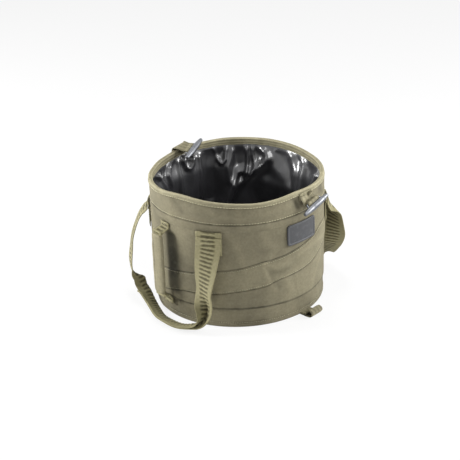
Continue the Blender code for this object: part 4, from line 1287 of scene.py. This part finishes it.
def rib_tree():
    """Ribs across webbing, from the stored distances along and across it."""
    sizes = ("Pitch", "Height", "Reach", "Sharpness")
    tree, given, out = new_tree("ribs", sizes)
    found = {label: given.outputs[label] for label in sizes}
    for stored in ("along", "across", "shade"):
        reader = add(tree, "GeometryNodeInputNamedAttribute", {"Name": stored}, data_type="FLOAT")
        found[stored] = reader.outputs[0]
    found["uneven"] = add(tree, "ShaderNodeTexNoise", {"Scale": 260.0, "Detail": 1.0}).outputs["Fac"]
    for name, operation, *values in RIB_STEPS:
        inputs = {place: found.get(value, value) for place, value in enumerate(values)}
        found[name] = add(tree, "ShaderNodeMath", inputs, operation=operation).outputs[0]
    normal = add(tree, "GeometryNodeInputNormal").outputs[0]
    offset = add(tree, "ShaderNodeVectorMath", {0: normal, "Scale": found["lift"]}, operation="SCALE")
    moved = add(tree, "GeometryNodeSetPosition", {
        "Geometry": given.outputs["Geometry"], "Offset": offset.outputs[0]})
    # Painted light on the ribs' tops and painted shade in their hollows, times the shade input's painted
    # shade
    relief = add(tree, "ShaderNodeMix", {0: found["mask"], 2: PLAIN_TONE, 3: found["rib tone"]},
                 data_type="FLOAT")
    shaded = add(tree, "ShaderNodeMath", {0: relief.outputs[0], 1: found["shade"]}, operation="MULTIPLY")
    kept = add(tree, "GeometryNodeStoreNamedAttribute", {
        "Geometry": moved.outputs[0], "Name": "relief", "Value": shaded.outputs[0],
    }, data_type="FLOAT", domain="POINT")
    return end_tree(tree, given, out, kept.outputs[0])


RIBS = rib_tree()


def raise_ribs(made, along, across, shade, height=RIB_HEIGHT, reach=RIB_REACH):
    """Rib a piece of webbing whose points lie at these distances along and across it."""
    for name, values in (("along", along), ("across", across), ("shade", shade)):
        mark(made, name, values)
    return run_tree(made, RIBS, {"Pitch": RIB_PITCH, "Height": height, "Reach": reach,
                                 "Sharpness": RIB_SHARPNESS, "Finish": ribbed_webbing})


print("the rib tree:", len(RIBS.nodes), "nodes, a rib each", RIB_PITCH / MM, "mm")

# %% [markdown]
# ## The carry handles
# Each handle is one length of webbing from a sewn end, down and round in a loose loop, to the
# other end. Its middle is folded in half lengthwise and stitched, which makes the narrow grip.
# The fold is worked out in the section: the webbing's flat line is bent at its middle by up to
# half a turn, so one half swings over and lies on the other.

# %% The section of a folding strap
WEBBING_WIDTH, WEBBING_CLOTH = 38.0 * MM, 1.4 * MM
FOLD_GAP = 1.8 * MM
# How much of the webbing, either side of its middle, takes part in the bend
BEND = math.pi * FOLD_GAP / 4


def section_places(half):
    """Places across webbing, closer together at the fold, at the ribs' ends and at the edges."""
    outer = np.array([1.0, 0.985, 0.94, 0.85, 0.75, 0.66, 0.60, 0.54, 0.42, 0.30, 0.18]) * half
    return np.concatenate([outer, np.linspace(1, -1, 7) * BEND, -outer[::-1]])


def folded_section(fold, places, thickness):
    """The outline of webbing folded forwards by a share from 0 to 1, as (across, out) points."""
    fine = np.linspace(places[0], places[-1], 1201)
    turn = math.pi * fold * np.clip((BEND - fine) / (2 * BEND), 0, 1)
    step = fine[0] - fine[1]
    x = fine[0] - np.concatenate([[0], np.cumsum(np.cos((turn[1:] + turn[:-1]) / 2))]) * step
    y = np.concatenate([[0], np.cumsum(np.sin((turn[1:] + turn[:-1]) / 2))]) * step
    x, y = x - (x.max() + x.min()) / 2, y - (y.max() + y.min()) / 2
    order = fine[::-1]
    px, py, pt = (np.interp(places, order, v[::-1]) for v in (x, y, turn))
    thick = thickness / 2 * np.where(np.abs(places) > 0.995 * places[0], 0.35, 1.0)
    nx, ny = np.sin(pt) * thick, np.cos(pt) * thick
    front = np.stack([px + nx, py + ny], -1)
    back = np.stack([px - nx, py - ny], -1)
    return np.concatenate([front, back[::-1]])


places = section_places(WEBBING_WIDTH / 2)
for fold in (0, 1):
    width = float(np.ptp(folded_section(fold, places, WEBBING_CLOTH)[:, 0]))
    print(f"webbing folded by {fold}: {width / MM:.1f} mm wide")

# %% The two carry handles
# The sewn ends turn over at the top and come down outside themselves to this height
FOLD_END = 145.0 * MM
# Each row is an angle, a radius as a share of the wall's, a height as a share of FOLD_END, and the
# direction of the webbing's width: along the wall, outwards and up
LEFT_ROUTE = (
    (-65.0, 1.031, 0.997, 1, 0, 0), (-65.0, 1.040, 0.940, 1, 0, 0), (-65.0, 1.050, 0.883, 1, 0, 0),
    (-66.6, 1.077, 0.669, 0.96, 0.28, -0.06), (-68.0, 1.108, 0.400, 0.76, 0.65, 0.03),
    (-68.0, 1.146, 0.200, 0.56, 0.83, 0.03), (-70.6, 1.170, 0.100, 0.25, 0.97, 0.02),
    (-77.5, 1.195, 0.056, -0.07, 0.99, 0.14), (-86.0, 1.190, 0.046, -0.16, 0.96, 0.24),
    (-96.5, 1.170, 0.048, -0.12, 0.94, 0.33), (-106.5, 1.128, 0.058, 0, 0.92, 0.38),
    (-115.0, 1.115, 0.083, 0.2, 0.93, 0.3), (-122.4, 1.142, 0.145, 0.05, 0.98, 0.1),
    (-127.2, 1.202, 0.207, -0.8, 0.58, -0.1), (-131.0, 1.254, 0.310, -1, 0.1, 0),
    (-133.5, 1.254, 0.462, -0.97, 0.12, -0.15), (-134.9, 1.231, 0.621, -0.98, 0.09, -0.12),
    (-136.0, 1.170, 0.807, -1, 0.03, -0.05), (-137.0, 1.098, 0.932, -1, 0, 0),
    (-137.0, 1.063, 0.968, -1, 0, 0), (-137.0, 1.035, 0.997, -1, 0, 0),
)
RIGHT_ROUTE = (
    (43.0, 1.035, 0.997, 1, 0, 0), (43.0, 1.044, 0.974, 1, 0, 0), (43.2, 1.054, 0.952, 1, 0, 0),
    (45.0, 1.085, 0.900, 0.9, -0.42, 0), (48.0, 1.105, 0.800, 0.83, -0.56, 0),
    (50.5, 1.112, 0.660, 0.66, -0.75, 0), (53.0, 1.115, 0.520, 0.4, -0.92, 0),
    (56.5, 1.105, 0.410, 0.15, -0.95, 0.25), (61.0, 1.095, 0.335, 0, -0.87, 0.5),
    (66.5, 1.095, 0.260, 0, -0.8, 0.6), (74.0, 1.100, 0.180, 0, -0.8, 0.6),
    (83.0, 1.115, 0.115, 0, -0.85, 0.5), (93.0, 1.155, 0.078, 0, -0.87, 0.5),
    (101.5, 1.181, 0.079, -0.2, -0.9, 0.4),
    (107.0, 1.163, 0.121, -0.62, -0.75, 0.2), (109.5, 1.146, 0.214, -0.95, -0.3, 0),
    (111.0, 1.108, 0.414, -1, 0, 0), (113.0, 1.077, 0.669, -1, 0, 0), (115.0, 1.050, 0.883, -1, 0, 0),
    (115.0, 1.040, 0.940, -1, 0, 0), (115.0, 1.031, 0.997, -1, 0, 0),
)
# Between which shares of its run each grip is folded, and over how much of it each end forms
GRIPS = {"left": (0.265, 0.70, 0.17, 0.10), "right": (0.40, 0.72, 0.10, 0.12)}
HANDLE_STEP = 1.15 * MM
ROOT_HEIGHT, BEND_TOP = 112.0 * MM, 146.0 * MM


def handle_sections(route, grip):
    """The sections along a carry handle, with the distance along it and how far each is folded."""
    knots = []
    for angle, radius, height, along, out, up in route:
        place = around(angle, radius * WALL_RADIUS, height * FOLD_END)
        knots.append([*place, *(tangent(angle) * along + outward(angle) * out + np.array([0, 0, up]))])
    rows = curve_through(knots, HANDLE_STEP)
    path, (wide, face) = rows[:, :3], frames(rows[:, :3], rows[:, 3:])
    run = lengths_along(path)
    share = run / run[-1]
    start, end, forming, opening = grip
    fold = smooth_step(0, 1, np.minimum((share - start) / forming, (end - share) / opening) + 0.5)
    places = section_places(WEBBING_WIDTH / 2)
    sway = 0.35 * MM * ripples(path, 0.03, 81)
    sections = []
    for k, point in enumerate(path):
        outline = folded_section(fold[k], places, WEBBING_CLOTH)
        near_end = smooth_step(1, 0, min(run[k], run[-1] - run[k]) / (25 * MM))
        bowed = outline[:, 0] ** 2 / (2 * WALL_RADIUS) * near_end
        toward_wall = -unit(point * np.array([1, 1, 0]))
        lift = outline[:, 1:] + sway[k] * (1 - near_end)
        sections.append(point + wide[k] * outline[:, :1] + face[k] * lift + toward_wall * bowed[:, None])
    return np.array(sections), run, fold, places


def handle_part(name, sections, run, fold, places):
    """One stretch of a carry handle, ribbed."""
    across = np.concatenate([places, places[::-1]])
    made = tube(name, sections, np.concatenate([across, across[:1]]), run)
    rows, columns = sections.shape[:2]
    along = np.repeat(run[:, None], columns, 1)
    # Painted shade along the folded grip, ten per cent at most
    shade = 1 - 0.10 * np.repeat(fold[:, None], columns, 1)
    return raise_ribs(made, along, np.repeat(across[None, :], rows, 0), shade)


def join(name, parts):
    """Several mesh objects as one."""
    with bpy.context.temp_override(active_object=parts[0], selected_editable_objects=parts,
                                   selected_objects=parts):
        bpy.ops.object.join()
    parts[0].name = parts[0].data.name = name
    return parts[0]


def make_carry_handle(side, route, grip):
    """One carry handle: two roots that bend at the sewn ends, and the loop between them."""
    sections, run, fold, places = handle_sections(route, grip)
    middle = sections.mean(1)[:, 2]
    first = int(np.argmax(middle < ROOT_HEIGHT))
    last = len(middle) - 1 - int(np.argmax(middle[::-1] < ROOT_HEIGHT))
    cuts = {"front": slice(0, first + 1), "loop": slice(first, last + 1), "rear": slice(last, len(run))}
    parts = {key: handle_part(f"{side}_handle_{key}", sections[cut], run[cut], fold[cut], places)
             for key, cut in cuts.items()}
    roots = join(f"{side}_handle_roots", [parts["front"], parts["rear"]])
    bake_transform(roots)
    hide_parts(f"{side}_handle_webbing")
    loop = parts["loop"]
    dress(loop, f"{side}_handle", "webbing")
    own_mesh(loop)


make_carry_handle("left", LEFT_ROUTE, GRIPS["left"])
make_carry_handle("right", RIGHT_ROUTE, GRIPS["right"])

# %% [markdown]
# ## Sewn webbing on the wall
# Ends of webbing lie flat on the drum and so bend round it. They are drawn as a path of
# (radius, height) points seen from the edge, given their width along the wall.

# %% Strips laid on the drum
def laid_strip(name, profile, angle, width, thickness, columns=15, spacing=1.2 * MM):
    """A strip on the drum: its middle's (radius, height) path, carried along the wall by its width."""
    rows = curve_through([(r, z, 0.0) for r, z in profile], spacing)
    ahead = headings(rows)
    normal = np.stack([ahead[:, 1], -ahead[:, 0]], -1)
    share = np.linspace(-1, 1, columns)
    turn = angle + np.degrees(share * width / 2 / WALL_RADIUS)
    rise = thickness / 2 * np.where(np.abs(share) > 0.99, 0.4, 1.0)
    sections = []
    for (r, z, _), (out, up) in zip(rows, normal):
        front = around(turn, r + out * rise, z + up * rise)
        back = around(turn, r - out * rise, z - up * rise)
        sections.append(np.concatenate([front, back[::-1]]))
    across = np.concatenate([share, share[::-1]]) * width / 2
    run = lengths_along(rows)
    made = tube(name, np.array(sections), np.concatenate([across, across[:1]]), run)
    return made, np.repeat(run[:, None], len(across), 1), np.repeat(across[None, :], len(rows), 0)


def box_lines(angle, radius, width, low, high, cross=False):
    """The lines of a stitched box on the drum, with its diagonals if crossed."""
    half = math.degrees(width / 2 / WALL_RADIUS)

    def run(points):
        rows = np.array(points, float)
        steps = np.linspace(0, len(rows) - 1, 12 * (len(rows) - 1) + 1)
        turn, height = (np.interp(steps, np.arange(len(rows)), rows[:, c]) for c in (0, 1))
        return around(turn, radius, height)

    left, right = angle - half, angle + half
    lines = [(run([(left, low), (right, low), (right, high), (left, high), (left, low)]), False)]
    if cross:
        lines += [(run([(left, low), (right, high)]), False), (run([(left, high), (right, low)]), False)]
    return lines


print("lines in a crossed box:", len(box_lines(0.0, WALL_RADIUS, 14 * MM, 0.0, 5 * MM, cross=True)))

# %% The four sewn ends of the carry handles
def make_handle_ends():
    """The ends of the carry handles: up the wall, over a tight fold, and down outside it."""
    inner, bend = WALL_RADIUS + 0.3 * MM + WEBBING_CLOTH / 2, WEBBING_CLOTH / 2 + 0.3 * MM
    centre = inner + bend
    arc = np.radians(np.linspace(180, 0, 7))
    profile = [(inner, PATCH_LOW), (inner, 134 * MM)]
    profile += [(centre + bend * math.cos(t), PATCH_TOP - bend + bend * math.sin(t)) for t in arc]
    profile += [(centre + bend, FOLD_END)]
    lines = []
    for name, angle in PATCH_ANGLES.items():
        made, along, across = laid_strip(f"{name}_webbing", profile, angle, WEBBING_WIDTH, WEBBING_CLOTH, 25,
                                         1.0 * MM)
        raise_ribs(made, along, across, np.full(along.shape, 0.95), height=0.22 * MM)
        dress(made, "upper_wall", "webbing", name)
        lines += box_lines(angle, inner + 1.05 * MM, 30 * MM, 120 * MM, 143 * MM)
    dress(stitches("handle_end_stitching", lines), "upper_wall", "webbing")


make_handle_ends()

# %% [markdown]
# ## The grab handle
# A short handle stands up the left wall for steadying the bucket while it is poured. Its
# webbing is sewn down at both ends and runs through a padded sleeve of wall cloth, which is
# rounded, pulled in at its mouths, and closed by a seam down its outer edge.

# %% The grab handle's webbing
GRAB_ANGLE = -100.0
GRAB_OUT = WALL_RADIUS + 15 * MM
GRAB_TOP, GRAB_BOTTOM = 151.0 * MM, 22.0 * MM
SLEEVE_TOP, SLEEVE_BOTTOM = 136.0 * MM, 42.0 * MM
GRAB_WIDTH = 20.0 * MM
PAD_COLUMNS = 48


def grab_profile():
    """The grab webbing's (radius, height) path from its top end to its bottom end."""
    wall, thick = WALL_RADIUS + 0.3 * MM + WEBBING_CLOTH / 2, WEBBING_CLOTH
    ends = []
    for end, mouth, way in ((GRAB_TOP, SLEEVE_TOP, 1), (GRAB_BOTTOM, SLEEVE_BOTTOM, -1)):
        ends.append([(wall, end), (wall, end - way * 8 * MM),
                     (wall + 3.6 * thick, mouth + way * 3.2 * thick),
                     (GRAB_OUT - 1.4 * thick, mouth + way * 1.3 * thick),
                     (GRAB_OUT, mouth + way * 0.6 * thick), (GRAB_OUT, mouth - way * 1.4 * thick)])
    return ends[0] + ends[1][::-1]


def make_grab_webbing():
    """The webbing of the grab handle."""
    made, along, across = laid_strip("grab_webbing", grab_profile(), GRAB_ANGLE, GRAB_WIDTH,
                                     WEBBING_CLOTH, 17)
    raise_ribs(made, along, across, np.full(along.shape, 0.95), height=0.25 * MM, reach=7.5 * MM)
    dress(made, "base", "webbing", "grab_handle_webbing", keep=WALL_KEEP)
    wall = WALL_RADIUS + 0.3 * MM + 1.6 * MM
    lines = box_lines(GRAB_ANGLE, wall, 14 * MM, 144.5 * MM, 149.5 * MM, cross=True)
    lines += box_lines(GRAB_ANGLE, wall, 14 * MM, 23.5 * MM, 28.5 * MM, cross=True)
    dress(stitches("grab_stitching", lines, pitch=2.6 * MM), "base", "webbing", keep=WALL_KEEP)


def pad_ring(height):
    """One ring of the padded sleeve: a flat oval with a seam along its edge away from the front."""
    share = (height - SLEEVE_BOTTOM) / (SLEEVE_TOP - SLEEVE_BOTTOM)
    turn = np.radians(np.arange(PAD_COLUMNS) * 360 / PAD_COLUMNS)
    full = 1 - 0.16 * abs(2 * share - 1) ** 8
    swell = 1 + 0.03 * math.sin(9 * share + 1)
    along = 12.2 * MM * full * np.cos(turn)
    out = 4.4 * MM * full * swell * np.sign(np.sin(turn)) * np.abs(np.sin(turn)) ** 0.72
    place = np.stack([along, out, np.full(PAD_COLUMNS, height)], -1)
    wrinkle = 0.22 * MM * ripples(place, 0.016, 91) + 0.12 * MM * ripples(place, 0.006, 92)
    seam = np.exp(-((along + 5.0 * MM) / (0.9 * MM)) ** 2) * (np.sin(turn) > 0.2)
    out = out + np.sign(out) * (wrinkle - 0.55 * MM * seam)
    centre = around(GRAB_ANGLE, GRAB_OUT, height)
    ring = centre + tangent(GRAB_ANGLE) * along[:, None] + outward(GRAB_ANGLE) * out[:, None]
    # Relief: painted light over the whole pad, and painted shade in the seam's groove
    return ring, 0.85 + wrinkle / (3.0 * MM) - 0.6 * seam


def make_grab_sleeve():
    """The padded sleeve round the grab webbing."""
    heights = np.concatenate([[0, 0.5, 1.3, 2.6], np.linspace(4.5, 89.5, 58), [91.4, 92.7, 93.5, 94.0]]) * MM
    rings, relief = zip(*[pad_ring(SLEEVE_BOTTOM + h) for h in heights])
    rings, relief = np.array(rings), np.array(relief)
    centre = rings.mean(1, keepdims=True)
    for k, shrink in ((0, 0.80), (1, 0.92), (2, 0.975), (-1, 0.80), (-2, 0.92), (-3, 0.975)):
        rings[k] = centre[k] + (rings[k] - centre[k]) * shrink
    made = tube("grab_sleeve_pad", rings, np.arange(PAD_COLUMNS + 1) * 1.2 * MM, heights)
    mark(made, "relief", np.clip(relief, 0, 1))
    dress(made, "base", "coated_cloth", "grab_handle_sleeve", finish=coated_cloth, keep=WALL_KEEP)
    run = np.linspace(SLEEVE_BOTTOM + 2 * MM, SLEEVE_TOP - 2 * MM, 60)
    line = around(GRAB_ANGLE, GRAB_OUT + 4.0 * MM, run) - tangent(GRAB_ANGLE) * 3.4 * MM
    dress(stitches("grab_sleeve_stitching", [(line, False)]), "base", "coated_cloth", keep=WALL_KEEP)


make_grab_webbing()
make_grab_sleeve()

# %% [markdown]
# ## Toggles and their straps
# Each toggle is a cigar-shaped bar cast in zinc, with a wire eye at its back that its strap
# loops through. The bar is a turned profile and the eye is wire. The strap leaves the rim,
# bends as soft tape does, and goes round the eye. The front toggle hangs outside the rim, and
# the rear one is flipped over it into the mouth.

# %% The straps' paths
TAPE = 1.2 * MM
STRAP_WIDTH = 25.0 * MM
EYE_WIRE, EYE_PLAY, EYE_DROP = 2.5 * MM, 0.5 * MM, 8.1 * MM
STRAP_END_RADIUS, STRAP_END_CLOTH = 130.5 * MM, 1.4 * MM
ROOT_RADIUS = STRAP_END_RADIUS + 2.1 * MM
ROOT_TOP = 190.0 * MM
FRONT_ANGLE, REAR_ANGLE, FRONT_TOGGLE_ANGLE = 1.5, 175.6, 5.0
# The wave of fine ribs across plain tape, in radians over its width
TAPE_RIBS = 22


def square_to(direction, along):
    """A direction with its share along the bar taken out."""
    return unit(direction - along * np.dot(direction, along))


def toggle_place(centre_at, heading, tilt, hang):
    """Where a toggle's centre is, the direction of its bar, and the way from its eye to its bar."""
    along = tangent(heading) * math.cos(math.radians(tilt)) + np.array([0, 0, math.sin(math.radians(tilt))])
    return around(*centre_at), along, square_to(hang, along)


LEAN = math.radians(43)
FRONT = toggle_place((FRONT_TOGGLE_ANGLE, 144.0 * MM, 174.0 * MM), FRONT_TOGGLE_ANGLE, 12.0,
                     outward(FRONT_TOGGLE_ANGLE) * math.sin(LEAN) - np.array([0, 0, math.cos(LEAN)]))
REAR = toggle_place((169.6, 107.8 * MM, 197.0 * MM), 21.1, 9.5, -outward(REAR_ANGLE))
# Each strap's first points, as (radius, height): the front one drops, the rear one goes over the rim
FRONT_ROOT = [around(FRONT_ANGLE, r, z) for r, z in (
    (ROOT_RADIUS, ROOT_TOP), (ROOT_RADIUS, ROOT_TOP - 1.25 * TAPE),
    (ROOT_RADIUS + 1.8 * TAPE, ROOT_TOP - 3.3 * TAPE))]
REAR_ROOT = [around(REAR_ANGLE, r, z) for r, z in (
    (ROOT_RADIUS, ROOT_TOP), (ROOT_RADIUS, 194 * MM), (ROOT_RADIUS - 1.25 * TAPE, RIM_HEIGHT + 2.8 * TAPE),
    (ROOT_RADIUS - 5.8 * TAPE, RIM_HEIGHT + 4.3 * TAPE))]


def tape_piece(name, path, wide):
    """Plain tape along a path, with its edges and the fine ribs of its weave."""
    wide, face = frames(path, wide)
    share = np.linspace(-1, 1, 13)
    edge = np.where(np.abs(share) > 0.99, 0.45, 1.0)
    crease_down = 0.12 * MM * ripples(path, 0.012, 101)
    sections = []
    for k, point in enumerate(path):
        flat = point + np.outer(share * STRAP_WIDTH / 2, wide[k]) + face[k] * crease_down[k]
        rise = np.outer(TAPE / 2 * edge, face[k])
        sections.append(np.concatenate([flat + rise, (flat - rise)[::-1]]))
    across = np.concatenate([share, share[::-1]]) * STRAP_WIDTH / 2
    run = lengths_along(path)
    made = tube(name, np.array(sections), np.concatenate([across, across[:1]]), run)
    ribbed = 0.5 + 0.16 * np.cos(np.abs(across) / STRAP_WIDTH * TAPE_RIBS)
    mark(made, "relief", np.clip(ribbed[None, :] + 0.12 * ripples(path, 0.01, 102)[:, None], 0, 1))
    return made


def strap_path(root, root_wide, centre, along, hang, over):
    """A toggle strap's path from the rim and round the eye, with the direction of its width."""
    eye = centre - hang * EYE_DROP
    radius = EYE_WIRE / 2 + EYE_PLAY + TAPE / 2
    turns = np.radians(90 - 240 * np.arange(25) / 24)
    loop = [eye + (hang * math.cos(t) + over * math.sin(t)) * radius for t in turns]
    leads = [loop[0] - hang * reach for reach in (2 * EYE_WIRE, EYE_WIRE)]
    free = curve_through(np.array(list(root) + leads), 1.1 * MM)
    share = np.linspace(0, 1, len(free))
    wide = root_wide + (along - root_wide) * smooth_step(0, 1, share)[:, None]
    lead = np.linspace(0, 1, 3)[1:-1, None] * (loop[0] - free[-1]) + free[-1]
    path = np.concatenate([free, lead, loop])
    return path, np.concatenate([wide, np.repeat(along[None, :], len(path) - len(free), 0)])


def make_strap(side, root, root_wide, place, over_way, angle, sewn):
    """A toggle's strap and its end, sewn between two heights; gives the lines of its stitches."""
    centre, along, hang = place
    path, wide = strap_path(root, root_wide, centre, along, hang, np.cross(along, hang) * over_way)
    strap = tape_piece(f"{side}_toggle_tape", path, wide)
    dress(strap, f"{side}_strap", "webbing", f"{side}_toggle_strap", finish=plain_tape)
    middle = STRAP_END_RADIUS + STRAP_END_CLOTH / 2
    path = [(middle, height * MM) for height in (184, 189, 194)]
    end, _, across_end = laid_strip(f"{side}_strap_end_tape", path, angle, STRAP_WIDTH, STRAP_END_CLOTH)
    mark(end, "relief", np.clip(0.5 + 0.16 * np.cos(np.abs(across_end) / STRAP_WIDTH * TAPE_RIBS), 0, 1))
    dress(end, "rim", "webbing", f"{side}_strap_end", finish=plain_tape)
    return box_lines(angle, middle + STRAP_END_CLOTH / 2 + 0.1 * MM, 20 * MM, *sewn)


lines = make_strap("front", FRONT_ROOT, tangent(FRONT_ANGLE), FRONT, 1, FRONT_ANGLE,
                   (190.9 * MM, 193.2 * MM))
lines += make_strap("rear", REAR_ROOT, -tangent(REAR_ANGLE), REAR, -1, REAR_ANGLE,
                    (185.0 * MM, 189.0 * MM))
dress(stitches("strap_end_stitching", lines, pitch=3.2 * MM, width=0.8 * MM), "rim", "webbing")

# %% The toggles
# Half of the bar's profile, as millimetres from its middle and its radius
TOGGLE_HALF = ((3.0, 4.6), (8.1, 4.58), (12.0, 4.45), (16.7, 4.15), (22.0, 3.5), (26.6, 2.92),
               (27.3, 2.8), (27.75, 2.55), (28.0, 2.1), (28.0, 0.0))
TOGGLE_PROFILE = tuple((-x, r) for x, r in reversed(TOGGLE_HALF)) + TOGGLE_HALF


def make_toggle(side, place):
    """A turned bar with its wire eye."""
    centre, along, hang = place
    beside = np.cross(along, hang)
    turn = np.radians(np.arange(40) * 9.0)
    rays = np.outer(np.cos(turn), hang) + np.outer(np.sin(turn), beside)
    sections = [centre + along * x * MM + rays * max(r, 0.01) * MM for x, r in TOGGLE_PROFILE]
    profile = np.array(TOGGLE_PROFILE) * MM
    bar = tube(f"{side}_toggle_bar", np.array(sections), np.arange(41) * 0.63 * MM, lengths_along(profile))
    bar.data.materials.append(satin_nickel)
    reach, corner = STRAP_WIDTH / 2 + EYE_PLAY + EYE_WIRE / 2, EYE_WIRE
    arc = np.radians(np.linspace(0, 90, 7))
    right = [(reach - corner + corner * math.sin(t), EYE_DROP - corner + corner * math.cos(t)) for t in arc]
    outline = [(-x, y) for x, y in [(reach, 0.0)] + right[::-1]] + right + [(reach, 0.0)]
    eye = wire(f"{side}_eye", [centre + along * x - hang * y for x, y in outline], EYE_WIRE, satin_nickel)
    made = join(f"{side}_toggle_metal", [bar, eye])
    made.data.set_sharp_from_angle(angle=math.radians(50))
    dress(made, f"{side}_toggle_bar", "toggle_metal", f"{side}_toggle")


make_toggle("front", FRONT)
make_toggle("rear", REAR)

# %% [markdown]
# ## The badge
# A moulded rubber plate with rounded corners, a raised border and a sunk face is sewn to the
# wall under the collar. Its face is left bare. A square grid is drawn into a rounded outline,
# and the height of each point depends on how far it is from that outline.

# %% The badge
BADGE_ANGLE = -1.5
BADGE_HALF = (28.5 * MM, 16.0 * MM)
BADGE_MIDDLE = 135.0 * MM
BADGE_CORNER = 4.5 * MM
BADGE_BACK, BADGE_FRONT = WALL_RADIUS + 0.3 * MM, WALL_RADIUS + 2.2 * MM
BADGE_SEAM = 1.6 * MM


def rounded(u, v, half_u, half_v, corner):
    """A square's grid drawn into a rounded rectangle, and each point's distance from its outline."""
    x, y = u * half_u, v * half_v
    cx, cy = (np.abs(x) - half_u + corner) / corner, (np.abs(y) - half_v + corner) / corner
    in_corner = (cx > 0) & (cy > 0)
    rx, ry = cx * np.sqrt(np.clip(1 - cy ** 2 / 2, 0, 1)), cy * np.sqrt(np.clip(1 - cx ** 2 / 2, 0, 1))
    x = np.where(in_corner, np.sign(x) * (half_u - corner + rx * corner), x)
    y = np.where(in_corner, np.sign(y) * (half_v - corner + ry * corner), y)
    straight = np.minimum(half_u - np.abs(x), half_v - np.abs(y))
    return x, y, np.where(in_corner, corner * (1 - np.hypot(rx, ry)), straight)


def close_back(work):
    """Give the badge's face its sides and its back."""
    skirt = bmesh.ops.extrude_edge_only(work, edges=[e for e in work.edges if e.is_boundary])
    for vert in (v for v in skirt["geom"] if isinstance(v, bmesh.types.BMVert)):
        place = Vector((vert.co.x, vert.co.y, 0.0)).normalized() * BADGE_BACK
        vert.co = Vector((place.x, place.y, vert.co.z))
    back = bmesh.ops.contextual_create(work, geom=[e for e in work.edges if e.is_boundary])
    bmesh.ops.triangulate(work, faces=back["faces"])
    bmesh.ops.recalc_face_normals(work, faces=work.faces)


def make_badge():
    """The bare rubber plate, and the stitches in its border."""
    shares = np.sin(np.linspace(-1, 1, 61) * math.pi / 2) * 0.45 + np.linspace(-1, 1, 61) * 0.55
    u, v = np.meshgrid(shares, shares)
    x, y, inset = rounded(u, v, *BADGE_HALF, BADGE_CORNER)
    border = smooth_step(0, 1, inset / (0.7 * MM)) - 0.55 * smooth_step(0, 1, (inset - 2.6 * MM) / (0.8 * MM))
    radius = BADGE_BACK + (BADGE_FRONT - BADGE_BACK) * (0.5 + 0.5 * border)
    angle = BADGE_ANGLE + np.degrees(x / WALL_RADIUS)
    made = sheet("badge_plate", around(angle, radius, BADGE_MIDDLE + y))
    mark(made, "relief", np.clip(border, 0, 1))
    edit(made.data, close_back)
    made.data.shade_smooth()
    dress(made, "upper_wall", "badge_rubber", "badge", finish=badge_rubber)
    loop = []
    for share in np.linspace(0, 2 * math.pi, 120, endpoint=False):
        c, s = math.cos(share), math.sin(share)
        u1, v1 = np.sign(c) * abs(c) ** 0.35, np.sign(s) * abs(s) ** 0.35
        scale = 1 / max(abs(u1), abs(v1))
        x1, y1, _ = rounded(np.array(u1 * scale), np.array(v1 * scale), BADGE_HALF[0] - BADGE_SEAM,
                            BADGE_HALF[1] - BADGE_SEAM, BADGE_CORNER - 1.4 * MM)
        loop.append(around(BADGE_ANGLE + math.degrees(float(x1) / WALL_RADIUS), BADGE_FRONT + 0.05 * MM,
                           BADGE_MIDDLE + float(y1)))
    sewing = stitches("badge_stitching", [(loop, True)], pitch=2.6 * MM, width=0.45 * MM)
    dress(sewing, "upper_wall", "badge_rubber", finish=badge_thread)


make_badge()

# %% [markdown]
# ## The foot's tabs
# A loop of tape at the front and one at the rear of the foot take the toggles when the bucket
# is pressed flat. Each is sewn to the base band by a short double root, and its loop lies on
# the ground, open.

# %% The base tabs
TAB_SEWN, TAB_GAP, TAB_STEP = 126.2 * MM, 0.3 * MM, 0.8 * MM
TAB_ROOT, TAB_REACH, TAB_OPENING = 7.8 * MM, 14.6 * MM, 9.0 * MM


def make_base_tab(side, angle):
    """A tab's sewn root and its open loop."""
    start, reach = TAB_SEWN + TAB_ROOT + TAB_GAP, TAB_REACH
    end, under = start + reach, 2 * TAB_GAP + TAPE / 2
    root = under + TAPE + TAB_GAP
    crown = under + TAPE + TAB_OPENING
    doubled = [(TAB_SEWN + share * TAB_ROOT, (under + root) / 2) for share in (0, 0.5, 1)]
    made, _, across = laid_strip(f"{side}_tab_root_tape", doubled, angle, STRAP_WIDTH, 2 * TAPE + TAB_GAP,
                                 spacing=TAB_STEP)
    mark(made, "relief", np.clip(0.42 + 0.16 * np.cos(np.abs(across) / STRAP_WIDTH * TAPE_RIBS), 0, 1))
    dress(made, "base", "webbing", f"{side}_tab_root", finish=plain_tape)
    profile = [
        (start, under), (start + 0.3 * reach, under), (end - 0.25 * reach, under + 0.03 * reach),
        (end - 0.08 * reach, under + 0.2 * reach), (end, (under + crown) / 2),
        (end - 0.1 * reach, crown - 0.11 * reach), (end - 0.4 * reach, crown),
        (start + 0.3 * reach, crown - 0.2 * reach), (start + 0.18 * reach, root + 0.1 * reach),
        (start + 0.09 * reach, root), (start, root),
    ]
    rows = curve_through([around(angle, r, z) for r, z in profile], TAB_STEP)
    loop = tape_piece(f"{side}_tab_tape", rows, np.repeat(tangent(angle)[None, :], len(rows), 0))
    dress(loop, f"{side}_tab", "webbing", f"{side}_base_tab", finish=plain_tape)


make_base_tab("front", 2.0)
make_base_tab("rear", 182.0)
